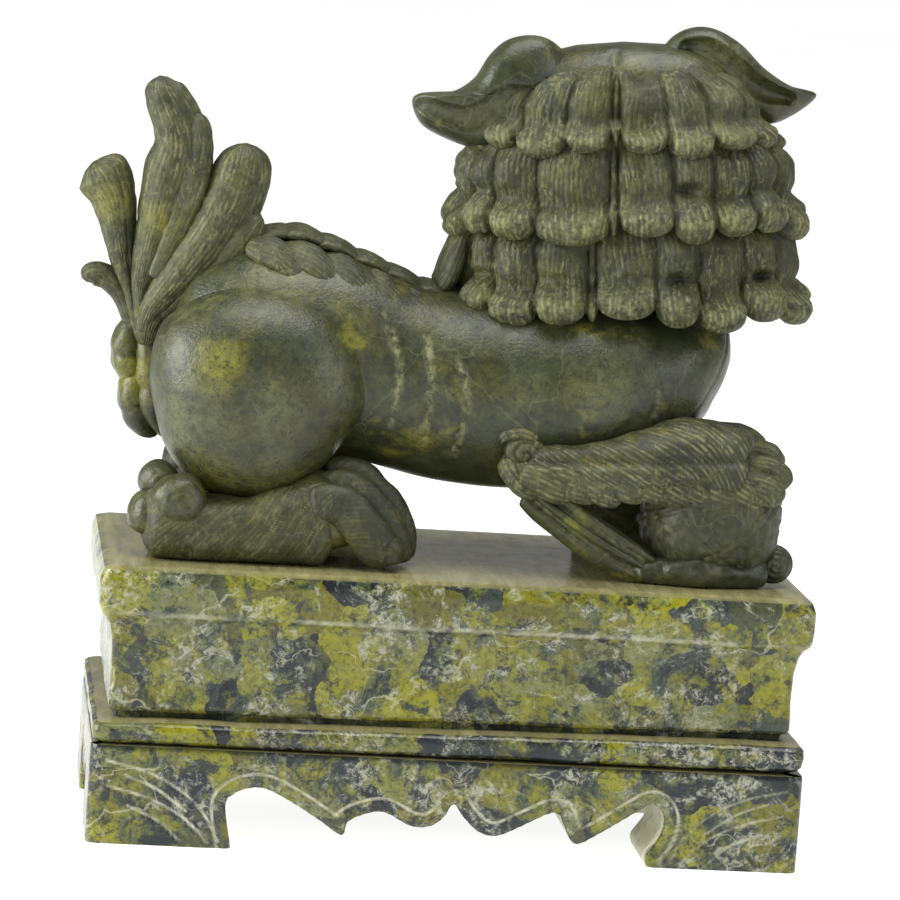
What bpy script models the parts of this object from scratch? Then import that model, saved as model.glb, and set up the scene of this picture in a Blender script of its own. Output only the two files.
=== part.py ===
"""A carved guardian lion (foo dog) on a stone plinth, as solids.

The lion stands side-on with its body along X, chest towards +X, its head turned to look along +Y and
its right paw on a brocade ball. Two stones make up the real object: the olive lion, and the mottled
plinth that it is bonded to. Each carved form of those stones is its own solid here, and neighbouring
solids keep a thin gap.

Sizes are in millimetres in the carver's frame: X = 0 and Y = 0 at the plinth's centre, Z = 0 under its
feet. Blender's own units are metres, so every point passes through MM on its way in.
"""

import math

import bpy
from mathutils import Vector

MM = 0.001

# Driving dimensions
PLINTH_LENGTH = 157.4
PLINTH_DEPTH = 77.0
PLINTH_TOP = 61.0
TAIL_REACH = 88.0  # how far the tail stands out behind the plinth's centre
GAP = 0.3  # clearance between neighbouring solids
CUTTER_OVERRUN = 5.0  # how far a cutter passes the faces that it cuts
CUT_GROWTH = 0.45  # how much a neighbour is grown before it is cut away, which leaves GAP at its facets

# The plinth's tiers, from the feet up
APRON_TOP = 22.0
BEAD_TOP = 29.2
WAIST_TOP = 50.0
WAIST_INSET = 3.4
BEAD_INSET = 0.5
EDGE_ROUND = 0.9
SLAB_ROUND = 1.4

# The lion
SOLE = PLINTH_TOP + GAP  # the height at which its feet rest
BALL_RADIUS = 15.0
BALL_CENTRE = (57.0, -15.0, SOLE + BALL_RADIUS)
HEAD_PIVOT = (36.5, 0.0, 118.0)
HEAD_LEAN = math.radians(-4.5)  # the crown leans back over the rump
HEAD_TURN = math.radians(-7.0)  # the face looks along +Y and a little towards the chest

# The scalloped lower edge of the plinth's long sides, cut by hand, from one foot to the other: (x, z)
LONG_SCALLOP = [(-47, 0), (-48.7, 9.4), (-47.2, 12), (-44.5, 13.4), (-40.4, 13.7), (-34.8, 11.2), (-28, 7.2),
                (-22.8, 4), (-21.8, 7), (-18.1, 9), (-13.8, 9.6), (-8.1, 6.9), (-3.7, 6.9), (-0.6, 9.2),
                (1.2, 12.2), (3.6, 9.4), (7.2, 6.2), (11.9, 5.6), (19.4, 9.4), (22.6, 11), (24.8, 10.9),
                (26.2, 8), (28.8, 4.4), (34, 7), (42.5, 12.6), (45.4, 14), (47.4, 12.8), (48.2, 10),
                (47.2, 6.4), (44.6, 2.4), (45, 0)]
# The same for its short ends: (y, z)
SHORT_SCALLOP = [(-13.6, 0), (-14.4, 8), (-13.4, 11.2), (-11, 12.2), (-8.2, 10.6), (-5.4, 7.6), (-2.4, 8.2),
                 (0, 10.8), (2.4, 8.2), (5.4, 7.6), (8.2, 10.6), (11, 12.2), (13.4, 11.2), (14.4, 8),
                 (13.6, 0)]
# The hollow under the plinth, between its four scalloped sides
HOLLOW_HALF_LENGTH = 60.0
HOLLOW_HALF_DEPTH = 14.5
HOLLOW_TOP = 15.0

STONES = {"lion_stone": ((0.135, 0.150, 0.070), 0.38), "plinth_stone": ((0.33, 0.33, 0.12), 0.30)}

X_AXIS, Y_AXIS, Z_AXIS = Vector((1, 0, 0)), Vector((0, 1, 0)), Vector((0, 0, 1))

# Stations of each lofted form: centre x, y, z, half width along its side axis, half height across it.
TORSO = [(-66, 0, 107, 8, 9), (-60, 0, 107, 15, 16.5), (-48, 0, 107, 20.5, 23), (-32, 0, 106.5, 21.5, 23),
         (-15, 0, 102.5, 21, 21.5), (0, 0, 100, 21.5, 22), (16, 0, 100, 22.5, 22.5),
         (32, 0, 102.3, 23, 21.6), (43, 0, 106, 21, 17.6), (50.5, 0, 110.6, 17, 13),
         (56, 0, 114.4, 11.5, 8.6), (59.5, 0, 116.8, 5, 4)]
HAUNCH = [(-46, 15, 121.5, 6, 4), (-46, 15, 118, 14.5, 8.5), (-46, 16, 110, 22, 12),
          (-45.5, 17, 100, 24.5, 13.5), (-46, 17, 90, 22.5, 13), (-46, 17, 82, 18.5, 12),
          (-46, 17, 76, 15.5, 10.5), (-46, 17, 72, 13, 9)]
RIGHT_HIND_FOOT = [(-71, -19, 69.5, 5, 5), (-68, -19, 70.5, 8.5, 9), (-60, -19, 69, 10, 8.2),
                   (-50, -19, 68.5, 10.5, 7.8), (-38, -19, 69.5, 10.5, 8.8), (-29.5, -19, 72.3, 11, 11.5),
                   (-22, -19, 70.5, 11, 9.6), (-16, -19, 66.8, 9.5, 6.2), (-12.5, -19, 64, 6.5, 3)]
LEFT_HIND_FOOT = [(-59.5, 18, 68, 5, 5), (-57.5, 18, 68.6, 8, 7), (-53, 18, 68.5, 10, 7.2),
                  (-47, 18, 68, 10.5, 7), (-40, 18, 68, 10.5, 7), (-33.5, 18, 68.6, 10.5, 7.6),
                  (-28, 18, 67.6, 10, 6.6), (-24, 18, 65.5, 8.5, 4.8), (-21.5, 18, 64, 6, 2.7)]
RIGHT_FORELEG = [(8.5, -17, 86, 3, 3), (12, -19, 86, 6, 6.5), (20, -21, 85.5, 7.5, 7.5),
                 (32, -22, 86, 8, 7.5), (44, -22, 88, 8.5, 8.5), (54, -21, 88.7, 9.5, 8.7),
                 (62, -20.5, 87.5, 10, 8), (67.5, -20, 85.5, 8.5, 5.8), (70.5, -19.5, 84, 4.5, 3)]
LEFT_FORELEG = [(44, 13, 100, 8.5, 7.5), (43, 16, 90, 8, 7.5), (42.5, 18, 80, 7.5, 7),
                (43, 18.5, 72, 7.5, 7.5), (46, 18.5, 66.5, 10, 8.8), (48, 18.5, 63.5, 12.5, 10),
                (48, 18.5, 61.3, 12.5, 10)]
RIBBON = [(15.5, -22, 83, 3.6, 2.6), (20, -22.3, 79.5, 4.6, 3), (28, -22.6, 74.5, 4.5, 3),
          (37, -22.8, 68.5, 4.4, 3), (45, -22.6, 64.6, 3.6, 3), (52, -22, 63.4, 2, 2.6)]
RIBBON_KNOT = [(70.7, -15, 61.3, 3.4, 3.2), (70.8, -15, 63, 4.3, 4), (71, -15, 66, 4.4, 4.2),
               (70.6, -15, 68.6, 3, 2.8), (70.4, -15, 69.6, 1.2, 1.2)]
SPINE_MANE = [(-47, 0, 130, 5, 2.6), (-40, 0, 131.6, 9, 3), (-30, 0, 130, 10, 3.2),
              (-20, 0, 126, 10, 3.2), (-11, 0, 122.4, 9.5, 3.2), (-5, 0, 122.6, 9, 3.2),
              (-2.6, 0, 128, 8, 3.4), (-0.5, 0, 133, 6, 3)]
TAIL_ROOT = [(-70, 0, 105.5, 4, 3.5), (-69.5, 0, 110.5, 7, 5), (-66, 0, 117, 9, 7.5),
             (-60.5, 0, 122.5, 9, 8.5), (-55, 0, 126, 6, 6)]
TAIL_PLUMES = {
    "tail_plume_tall": [(-71.8, 0, 114, 3, 2), (-71, 0, 122, 4.2, 3.6), (-69.6, 0, 130, 5.2, 4.8),
                        (-67.6, 0, 137.5, 5.8, 6.2), (-65.8, 0, 144.5, 6, 7.4), (-65.6, 0, 150.5, 5.6, 6.4),
                        (-67.4, 0, 157, 5, 5.6), (-70, 0, 162, 3.6, 4.2), (-70.9, 0, 164.4, 1.8, 2)],
    "tail_plume_front": [(-69, -1, 113.5, 3.4, 3), (-64, -2, 120, 4.6, 4.6), (-59, -3, 127.5, 5.4, 5.6),
                         (-55, -3, 134.5, 6, 6.2), (-52.4, -3, 141, 6, 6.6), (-51.2, -3, 147, 5.4, 5.8),
                         (-50.8, -3, 151, 2.8, 3)],
    "tail_plume_rear": [(-74.6, 2, 116, 3, 1.6), (-76.4, 2, 123, 4, 2.8), (-78, 2, 131, 5, 4),
                        (-79.6, 2, 137.6, 5.4, 5.4), (-82.5, 2, 142, 5, 6.6), (-84.6, 2, 144.8, 2.8, 4)],
    "tail_curl_low": [(-73.6, 3, 108, 3.2, 1.8), (-75.4, 3, 113.4, 3.6, 2.4), (-78.2, 3, 118.2, 3.8, 2.8),
                      (-82.4, 3, 119.8, 3.6, 2.8), (-85.2, 3, 119, 2, 1.7)],
    "tail_tuft": [(-73, 5, 108, 3, 3), (-74, 5, 102.6, 4.6, 4.2), (-72.2, 5, 96.4, 4.4, 3.8),
                  (-70.6, 5, 90.6, 4.6, 4), (-67.8, 5, 85.4, 3, 2.4)],
}
# The head's forms are in its own leaning frame, measured from HEAD_PIVOT.
MANE_LOWER = [(0, -4, 0, 34, 17), (0, -4, 3, 38, 20), (0, -4, 8, 40.2, 21.5), (0, -4, 14, 39.7, 21.5),
              (0, -4, 18.5, 36.5, 19.5)]
MANE_MIDDLE = [(0, -4, 19.1, 36.5, 19.5), (0, -4, 23, 39.3, 21.5), (0, -4, 28, 39.3, 22),
               (0, -4, 34, 36, 21), (0, -4, 38, 33, 19.5)]
MANE_CROWN = [(0, -4, 38.6, 33, 19.5), (0, -4, 42, 34.2, 20.5), (0, -4, 48, 32.5, 19.5),
              (0, -4, 53, 27.5, 17), (0, -3, 56.8, 20, 13), (0, -2, 58.8, 10, 7)]
HEAD = [(0, 2, 36, 25, 19), (0, 10, 38, 26, 19.5), (0, 18, 39, 24, 17), (0, 24, 40, 19, 13),
        (0, 28, 41, 11, 8)]
MUZZLE = [(0, 12, 29, 19, 9.5), (0, 20, 28.5, 18.5, 9.5), (0, 28, 28.5, 16.5, 8.5), (0, 33, 29.5, 13, 6.5),
          (0, 36, 30.5, 7.5, 3.5)]
LOWER_JAW = [(0, 4, 12.5, 17, 6.5), (0, 14, 12, 17.5, 6), (0, 22, 12, 16, 5), (0, 28, 12.6, 12.5, 4.2),
             (0, 31.5, 13.6, 7.5, 2.6)]
BEARD = [(0, 18, 9, 12, 5), (0, 19, 4, 13, 6), (0, 19, -2, 11.5, 5.5), (0, 18, -7, 8, 4),
         (0, 16.5, -10, 3.5, 2)]
LEFT_EAR = [(-13, 0, 52.5, 5, 6), (-19, 1, 54.2, 6, 8.4), (-27, 1.5, 49.8, 6, 9), (-34, 1.5, 45.8, 4.6, 7),
            (-42, 1.5, 44.6, 3, 4.6), (-47.5, 1.5, 46, 1.2, 1.6)]
RIGHT_EAR = [(10, 0, 53, 5, 6), (15, 1, 56.2, 6, 8.2), (23, 1.5, 53.6, 6, 8.4), (30.5, 1.5, 49.4, 4.6, 6.4),
             (36.5, 1.5, 47.8, 3, 3.8), (42, 1.5, 48.6, 1.2, 1.4)]


def clear_scene():
    for old in list(bpy.data.objects):
        bpy.data.objects.remove(old)


def stone(name):
    """A Principled material in one of the two stones' colours."""
    if name in bpy.data.materials:
        return bpy.data.materials[name]
    colour, roughness = STONES[name]
    material = bpy.data.materials.new(name)
    material.use_nodes = True
    shader = material.node_tree.nodes["Principled BSDF"]
    shader.inputs["Base Color"].default_value = (*colour, 1)
    shader.inputs["Roughness"].default_value = roughness
    shader.inputs["Metallic"].default_value = 0
    return material


def add_solid(name, points, faces, material, parent, smooth=True):
    """One named object from points in millimetres."""
    mesh = bpy.data.meshes.new(name)
    mesh.from_pydata([Vector(p) * MM for p in points], [], faces)
    mesh.validate()
    mesh.materials.append(stone(material))
    if smooth:
        mesh.shade_smooth()
        mesh.set_sharp_from_angle(angle=math.radians(50))
    solid = bpy.data.objects.new(name, mesh)
    bpy.context.scene.collection.objects.link(solid)
    solid.parent = parent
    return solid


def ring(station, forward, side, count, lowest):
    """A closed oval of points about a station, square to forward, no lower than lowest."""
    x, y, z, half_wide, half_high = station
    across = (side - forward * side.dot(forward)).normalized()
    upright = forward.cross(across)
    points = []
    for k in range(count):
        angle = 2 * math.pi * k / count
        point = (Vector((x, y, z)) + across * (half_wide * math.cos(angle))
                 + upright * (half_high * math.sin(angle)))
        if lowest is not None:
            point.z = max(point.z, lowest)
        points.append(point)
    return points


def smooth_stations(stations, steps):
    """Catmull-Rom stations through the given ones, with steps spans from each one to the next."""
    fine = []
    for i in range(len(stations) - 1):
        before, a = stations[max(i - 1, 0)], stations[i]
        b, after = stations[i + 1], stations[min(i + 2, len(stations) - 1)]
        for k in range(steps):
            t = k / steps
            fine.append(tuple(0.5 * (2 * q + (r - p) * t + (2 * p - 5 * q + 4 * r - s) * t ** 2
                                     + (3 * q - p - 3 * r + s) * t ** 3)
                              for p, q, r, s in zip(before, a, b, after)))
    fine.append(tuple(stations[-1]))
    return fine


def loft(name, stations, side, parent, count=14, steps=2, material="lion_stone", lowest=None):
    """A closed form through its stations. side is the direction that half width is measured along."""
    fine = smooth_stations(stations, steps)
    centres = [Vector(s[:3]) for s in fine]
    points, faces = [], []
    for i, station in enumerate(fine):
        ahead, behind = centres[min(i + 1, len(fine) - 1)], centres[max(i - 1, 0)]
        points += ring(station, (ahead - behind).normalized(), side, count, lowest)
    for i in range(len(fine) - 1):
        for k in range(count):
            a, b = i * count + k, i * count + (k + 1) % count
            faces.append((a, b, b + count, a + count))
    faces.append(tuple(range(count))[::-1])
    faces.append(tuple(range(len(points) - count, len(points))))
    return add_solid(name, points, faces, material, parent)


def mirrored_in_y(stations):
    return [(x, -y, z, half_wide, half_high) for x, y, z, half_wide, half_high in stations]


def sphere(name, centre, radius, parent, segments=18, rings=10):
    points, faces = [(centre[0], centre[1], centre[2] - radius)], []
    for i in range(1, rings):
        latitude = math.pi * (i / rings - 0.5)
        for k in range(segments):
            angle = 2 * math.pi * k / segments
            points.append((centre[0] + radius * math.cos(latitude) * math.cos(angle),
                           centre[1] + radius * math.cos(latitude) * math.sin(angle),
                           centre[2] + radius * math.sin(latitude)))
    top = len(points)
    points.append((centre[0], centre[1], centre[2] + radius))
    for k in range(segments):
        after = (k + 1) % segments
        faces.append((0, 1 + after, 1 + k))
        faces.append((top, top - segments + k, top - segments + after))
        for i in range(rings - 2):
            row = 1 + i * segments
            faces.append((row + k, row + after, row + segments + after, row + segments + k))
    return add_solid(name, points, faces, "lion_stone", parent)


def rounded_block(name, half_x, half_y, low, high, rounding, parent):
    """A rectangular block whose edges are rounded by a Bevel modifier."""
    corners = [(-half_x, -half_y), (half_x, -half_y), (half_x, half_y), (-half_x, half_y)]
    points = [(x, y, low) for x, y in corners] + [(x, y, high) for x, y in corners]
    faces = [(3, 2, 1, 0), (4, 5, 6, 7), (0, 1, 5, 4), (1, 2, 6, 5), (2, 3, 7, 6), (3, 0, 4, 7)]
    solid = add_solid(name, points, faces, "plinth_stone", parent, smooth=False)
    bevel = solid.modifiers.new("rounded_edges", "BEVEL")
    bevel.width = rounding * MM
    bevel.segments = 3
    return solid


def tier(name, inset, low, high, rounding, parent):
    """One tier of the plinth, set in from its full outline."""
    half_x, half_y = PLINTH_LENGTH / 2 - inset, PLINTH_DEPTH / 2 - inset
    return rounded_block(name, half_x, half_y, low, high, rounding, parent)


def scalloped_prism(name, scallop, start, end, along_x, parent):
    """The opening under a scalloped edge as a cutter, which runs from start to end along X or along Y."""
    outline = [(scallop[0][0], -CUTTER_OVERRUN)] + scallop + [(scallop[-1][0], -CUTTER_OVERRUN)]
    points = [(run, across, z) if along_x else (across, run, z)
              for run in (start, end) for across, z in outline]
    n = len(outline)
    faces = [(k, (k + 1) % n, n + (k + 1) % n, n + k) for k in range(n)]
    faces += [tuple(range(n))[::-1], tuple(range(n, 2 * n))]
    return as_cutter(add_solid(name, points, faces, "plinth_stone", parent, smooth=False))


def as_cutter(obj):
    obj.hide_render = True
    obj.display_type = "WIRE"
    return obj


def face_outwards(obj):
    """Turns a closed mesh's faces outwards, by the sign of its volume."""
    mesh = obj.data
    mesh.calc_loop_triangles()
    volume = sum(mesh.vertices[a].co.dot(mesh.vertices[b].co.cross(mesh.vertices[c].co))
                 for a, b, c in (t.vertices for t in mesh.loop_triangles))
    if volume < 0:
        mesh.flip_normals()
    return obj


def cut(solid, cutter, name):
    modifier = solid.modifiers.new(name, "BOOLEAN")
    modifier.operation = "DIFFERENCE"
    modifier.object = cutter


def grown(solid):
    """A copy of a solid, grown along its normals, for cutting a neighbour clear of it."""
    copy = solid.copy()
    copy.name = solid.name + "_clearance"
    copy.data = solid.data.copy()
    copy.modifiers.clear()
    bpy.context.scene.collection.objects.link(copy)
    normals = [v.normal.copy() for v in copy.data.vertices]
    for vertex, normal in zip(copy.data.vertices, normals):
        vertex.co += normal * (CUT_GROWTH * MM)
    return as_cutter(copy)


def make_plinth(parent):
    half_x, half_y = PLINTH_LENGTH / 2, PLINTH_DEPTH / 2
    apron = tier("plinth_apron", 0, 0, APRON_TOP, EDGE_ROUND, parent)
    tier("plinth_bead", BEAD_INSET, APRON_TOP + GAP, BEAD_TOP, EDGE_ROUND, parent)
    tier("plinth_waist", WAIST_INSET, BEAD_TOP + GAP, WAIST_TOP, EDGE_ROUND, parent)
    tier("plinth_slab", 0, WAIST_TOP + GAP, PLINTH_TOP, SLAB_ROUND, parent)
    half_run = half_y + CUTTER_OVERRUN
    openings = [scalloped_prism("long_side_opening", LONG_SCALLOP, -half_run, half_run, False, parent)]
    inner, outer = HOLLOW_HALF_LENGTH - CUTTER_OVERRUN, half_x + CUTTER_OVERRUN
    for end, name in ((-1, "tail_end_opening"), (1, "chest_end_opening")):
        openings.append(scalloped_prism(name, SHORT_SCALLOP, end * inner, end * outer, True, parent))
    hollow = rounded_block("plinth_hollow", HOLLOW_HALF_LENGTH, HOLLOW_HALF_DEPTH, -CUTTER_OVERRUN,
                           HOLLOW_TOP, EDGE_ROUND, parent)
    openings.append(as_cutter(hollow))
    for opening in openings:
        cut(apron, face_outwards(opening), opening.name)


def make_body(parent):
    """The torso, legs, ball, tail and spine, in the order in which they give way to each other."""
    solids = {"torso": loft("torso", TORSO, Y_AXIS, parent, count=18)}
    solids["brocade_ball"] = sphere("brocade_ball", BALL_CENTRE, BALL_RADIUS, parent)
    solids["left_haunch"] = loft("left_haunch", HAUNCH, X_AXIS, parent)
    solids["right_haunch"] = loft("right_haunch", mirrored_in_y(HAUNCH), X_AXIS, parent)
    solids["left_hind_foot"] = loft("left_hind_foot", LEFT_HIND_FOOT, Y_AXIS, parent, lowest=SOLE)
    solids["right_hind_foot"] = loft("right_hind_foot", RIGHT_HIND_FOOT, Y_AXIS, parent, lowest=SOLE)
    solids["right_foreleg"] = loft("right_foreleg", RIGHT_FORELEG, Y_AXIS, parent)
    solids["left_foreleg"] = loft("left_foreleg", LEFT_FORELEG, X_AXIS, parent, lowest=SOLE)
    solids["ball_ribbon"] = loft("ball_ribbon", RIBBON, Z_AXIS, parent, count=10, lowest=SOLE)
    solids["ribbon_knot"] = loft("ribbon_knot", RIBBON_KNOT, X_AXIS, parent, count=10, lowest=SOLE)
    solids["tail_root"] = loft("tail_root", TAIL_ROOT, Y_AXIS, parent, count=14)
    for name, stations in TAIL_PLUMES.items():
        solids[name] = loft(name, stations, Y_AXIS, parent, count=12)
    solids["spine_mane"] = loft("spine_mane", SPINE_MANE, Y_AXIS, parent, count=12)
    return solids


def make_head(parent):
    solids = {"head": loft("head", HEAD, X_AXIS, parent, count=18)}
    for name, stations in (("muzzle", MUZZLE), ("lower_jaw", LOWER_JAW), ("beard", BEARD)):
        solids[name] = loft(name, stations, X_AXIS, parent, count=14)
    manes = {"mane_lower": MANE_LOWER, "mane_middle": MANE_MIDDLE, "mane_crown": MANE_CROWN}
    for name, stations in manes.items():
        solids[name] = loft(name, stations, X_AXIS, parent, count=22)
    # The body's chest is at +X and the face looks along +Y, so the lion's left ear is the one at -X.
    solids["left_ear"] = loft("left_ear", LEFT_EAR, Y_AXIS, parent, count=12)
    solids["right_ear"] = loft("right_ear", RIGHT_EAR, Y_AXIS, parent, count=12)
    return solids


# Which solids each one is cut clear of
GIVES_WAY_TO = {
    "left_haunch": ["torso"], "right_haunch": ["torso"],
    "left_hind_foot": ["left_haunch"], "right_hind_foot": ["right_haunch"],
    "right_foreleg": ["torso", "brocade_ball"], "left_foreleg": ["torso", "brocade_ball"],
    "ball_ribbon": ["brocade_ball", "right_foreleg"], "ribbon_knot": ["brocade_ball"],
    "tail_root": ["torso", "left_haunch", "right_haunch"],
    "tail_plume_tall": ["tail_root", "torso"],
    "tail_plume_front": ["tail_root", "torso", "tail_plume_tall"],
    "tail_plume_rear": ["tail_root", "tail_plume_tall"],
    "tail_curl_low": ["tail_root", "torso", "tail_plume_rear"],
    "tail_tuft": ["tail_root", "torso", "left_haunch", "tail_curl_low"],
    "muzzle": ["head"], "lower_jaw": ["head", "muzzle"], "beard": ["torso", "lower_jaw"],
    "mane_lower": ["torso", "head", "lower_jaw", "beard"], "mane_middle": ["head", "muzzle", "lower_jaw"],
    "mane_crown": ["head"],
    "left_ear": ["head", "mane_crown", "mane_middle"], "right_ear": ["head", "mane_crown", "mane_middle"],
    "spine_mane": ["torso", "tail_root", "mane_lower", "mane_middle", "tail_plume_front"],
}


def main():
    clear_scene()
    statue = bpy.data.objects.new("statue", None)
    bpy.context.scene.collection.objects.link(statue)
    # The row's origin is under the middle of the whole length, from the tail to the plinth's far end.
    statue.location.x = (TAIL_REACH - PLINTH_LENGTH / 2) / 2 * MM
    head_axis = bpy.data.objects.new("head_axis", None)
    bpy.context.scene.collection.objects.link(head_axis)
    head_axis.parent = statue
    head_axis.location = Vector(HEAD_PIVOT) * MM
    head_axis.rotation_euler = (0, HEAD_LEAN, HEAD_TURN)

    make_plinth(statue)
    solids = {**make_body(statue), **make_head(head_axis)}
    for solid in solids.values():
        face_outwards(solid)
    bpy.context.view_layer.update()
    cutting = sorted({neighbour for neighbours in GIVES_WAY_TO.values() for neighbour in neighbours})
    clearances = {name: grown(solids[name]) for name in cutting}
    for name, neighbours in GIVES_WAY_TO.items():
        for neighbour in neighbours:
            cut(solids[name], clearances[neighbour], "clear_of_" + neighbour)


main()
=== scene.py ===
# %% [markdown]
# # A guardian lion carved in stone
#
# This lesson builds a small temple lion that stands side-on on a scalloped plinth. The lion is one block of
# olive serpentine and the plinth is one block of mottled serpentine, so nothing here is screwed or glued up
# from parts. What makes it look real is the carving: polished swellings, tufts of hair scored with a fine
# tool, and stone dust that has stayed in the grooves.
#
# The solids of the engineering model come first, because every carved piece takes its place from them.

# %% Load the frame
import math

import bpy
import numpy as np
from mathutils import Matrix, Vector


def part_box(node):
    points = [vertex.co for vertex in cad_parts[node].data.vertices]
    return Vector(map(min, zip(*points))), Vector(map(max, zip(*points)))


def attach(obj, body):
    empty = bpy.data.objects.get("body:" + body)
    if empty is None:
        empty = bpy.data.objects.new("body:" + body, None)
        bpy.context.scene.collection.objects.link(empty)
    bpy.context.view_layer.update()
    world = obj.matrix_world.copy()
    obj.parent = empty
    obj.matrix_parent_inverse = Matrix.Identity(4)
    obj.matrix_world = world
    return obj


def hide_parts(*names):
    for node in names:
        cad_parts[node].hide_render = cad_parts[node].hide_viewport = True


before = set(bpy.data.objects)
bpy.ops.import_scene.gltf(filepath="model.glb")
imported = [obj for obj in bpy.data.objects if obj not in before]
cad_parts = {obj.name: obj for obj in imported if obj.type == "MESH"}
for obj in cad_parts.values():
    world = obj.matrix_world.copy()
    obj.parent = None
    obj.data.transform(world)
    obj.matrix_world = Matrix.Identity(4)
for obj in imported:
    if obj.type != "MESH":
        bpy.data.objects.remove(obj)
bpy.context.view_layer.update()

# %% [markdown]
# ## The carver's frame
#
# All sizes below are in millimetres in the carver's frame: X = 0 and Y = 0 at the plinth's centre, Z = 0
# under its feet, the lion's chest towards +X and its face towards +Y. The plinth's slab says where that
# centre is in the shared frame, so one function takes every point across.

# %% The carver's frame
MM = 0.001
slab_low, slab_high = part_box("plinth_slab")
CENTRE_X = (slab_low.x + slab_high.x) / 2 / MM
PLINTH_TOP = slab_high.z / MM
HALF_LENGTH = (slab_high.x - slab_low.x) / 2 / MM
HALF_DEPTH = (slab_high.y - slab_low.y) / 2 / MM
X_AXIS, Y_AXIS, Z_AXIS = np.eye(3)


def in_metres(points):
    return (np.asarray(points, float) + (CENTRE_X, 0, 0)) * MM


print("plinth half length, half depth and top:", round(HALF_LENGTH, 2), round(HALF_DEPTH, 2),
      round(PLINTH_TOP, 2))

# %% [markdown]
# ## Unevenness of the hand
#
# Nothing cut by hand repeats exactly. This smooth noise is worked out from the position alone, so that the
# carving comes out the same each time. Every groove, edge and swelling below borrows a little of it.


# %% Smooth noise
def corner_value(x, y, z, seed):
    mixed = (x * 374761393 + y * 668265263 + z * 1442695041 + seed * 974711) & 0xFFFFFFFF
    mixed = ((mixed ^ (mixed >> 13)) * 1274126177) & 0xFFFFFFFF
    return ((mixed ^ (mixed >> 16)) & 0xFFFF) / 32767.5 - 1


def unevenness(points, size, seed=0):
    """Noise between -1 and 1 at each point, with its bumps about size apart."""
    scaled = np.asarray(points, float) / size + 500
    cell = np.floor(scaled).astype(np.int64)
    share = scaled - cell
    share = share * share * (3 - 2 * share)
    total = 0
    for corner in np.ndindex(2, 2, 2):
        weight = 1
        for axis in range(3):
            weight = weight * (share[..., axis] if corner[axis] else 1 - share[..., axis])
        total = total + weight * corner_value(*(cell[..., axis] + corner[axis] for axis in range(3)), seed)
    return total


def line_noise(distance, lane, size, seed=0):
    """Noise along a line, different for each lane."""
    lane = np.broadcast_to(lane, np.shape(distance))
    return unevenness(np.stack([distance / size, lane * 7.31, 0 * lane], -1), 1, seed)


print("noise at three points:", np.round(unevenness(np.eye(3) * 5, 3), 2))

# %% [markdown]
# ## Swept forms
#
# A carver sees a tuft, a limb or a plume as a thick line that swells and thins. So the basic form here is a
# sweep: oval rings along a smooth path through a few stations. Each station gives its centre, and half of
# its width and of its height. The rings are spaced evenly along the path, and their points evenly round the
# oval, because the fine hatching needs even spacing to come out clean.


# %% Paths and rings
def with_ends(knots):
    """The knots with one more at each end, straight on from the last two."""
    return np.concatenate([2 * knots[:1] - knots[1:2], knots, 2 * knots[-1:] - knots[-2:-1]])


def smooth_spans(knots, share):
    """A smooth (Catmull-Rom) span from each knot to the next; the first and last knots only steer it."""
    return [0.5 * (2 * a + (b - p) * share + (2 * p - 5 * a + 4 * b - q) * share ** 2
                   + (3 * a - p - 3 * b + q) * share ** 3)
            for p, a, b, q in zip(knots, knots[1:], knots[2:], knots[3:])]


def walk(points):
    """How far along the path each point is."""
    return np.concatenate([[0], np.cumsum(np.linalg.norm(np.diff(points, axis=0), axis=1))])


def places_at(points, walked, at):
    """The path's places at these distances."""
    return np.stack([np.interp(at, walked, column) for column in points.T], 1)


def bell(value, centre, width):
    """A soft bump: 1 at the centre, fading over width."""
    return np.exp(-((value - centre) / width) ** 2)


def tent(value, centre, width, top=1.0):
    """A straight-sided bump, cut off at 1 and at 0."""
    return np.clip(top - np.abs(value - centre) / width, 0, 1)


def smooth_path(stations, rows):
    """A smooth path through the stations, as rows evenly spaced places."""
    knots = np.asarray(stations, float)
    spans = smooth_spans(with_ends(knots), np.linspace(0, 1, 24, endpoint=False)[:, None])
    fine = np.vstack(spans + [knots[-1:]])
    walked = walk(fine[:, :3])
    at = np.linspace(0, walked[-1], rows)
    return places_at(fine, walked, at), at


def unit(vectors):
    return vectors / np.maximum(np.linalg.norm(vectors, axis=-1, keepdims=True), 1e-9)


def oval(wide, high, around, squareness):
    """Evenly spaced points of a unit oval with the proportions of wide to high."""
    angle = np.linspace(0, 2 * np.pi, 721)
    x = np.sign(np.cos(angle)) * np.abs(np.cos(angle)) ** (2 / squareness)
    y = np.sign(np.sin(angle)) * np.abs(np.sin(angle)) ** (2 / squareness)
    walked = np.concatenate([[0], np.cumsum(np.hypot(np.diff(x) * wide, np.diff(y) * high))])
    at = np.linspace(0, walked[-1], around, endpoint=False)
    return np.interp(at, walked, x), np.interp(at, walked, y), walked[-1]


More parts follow.
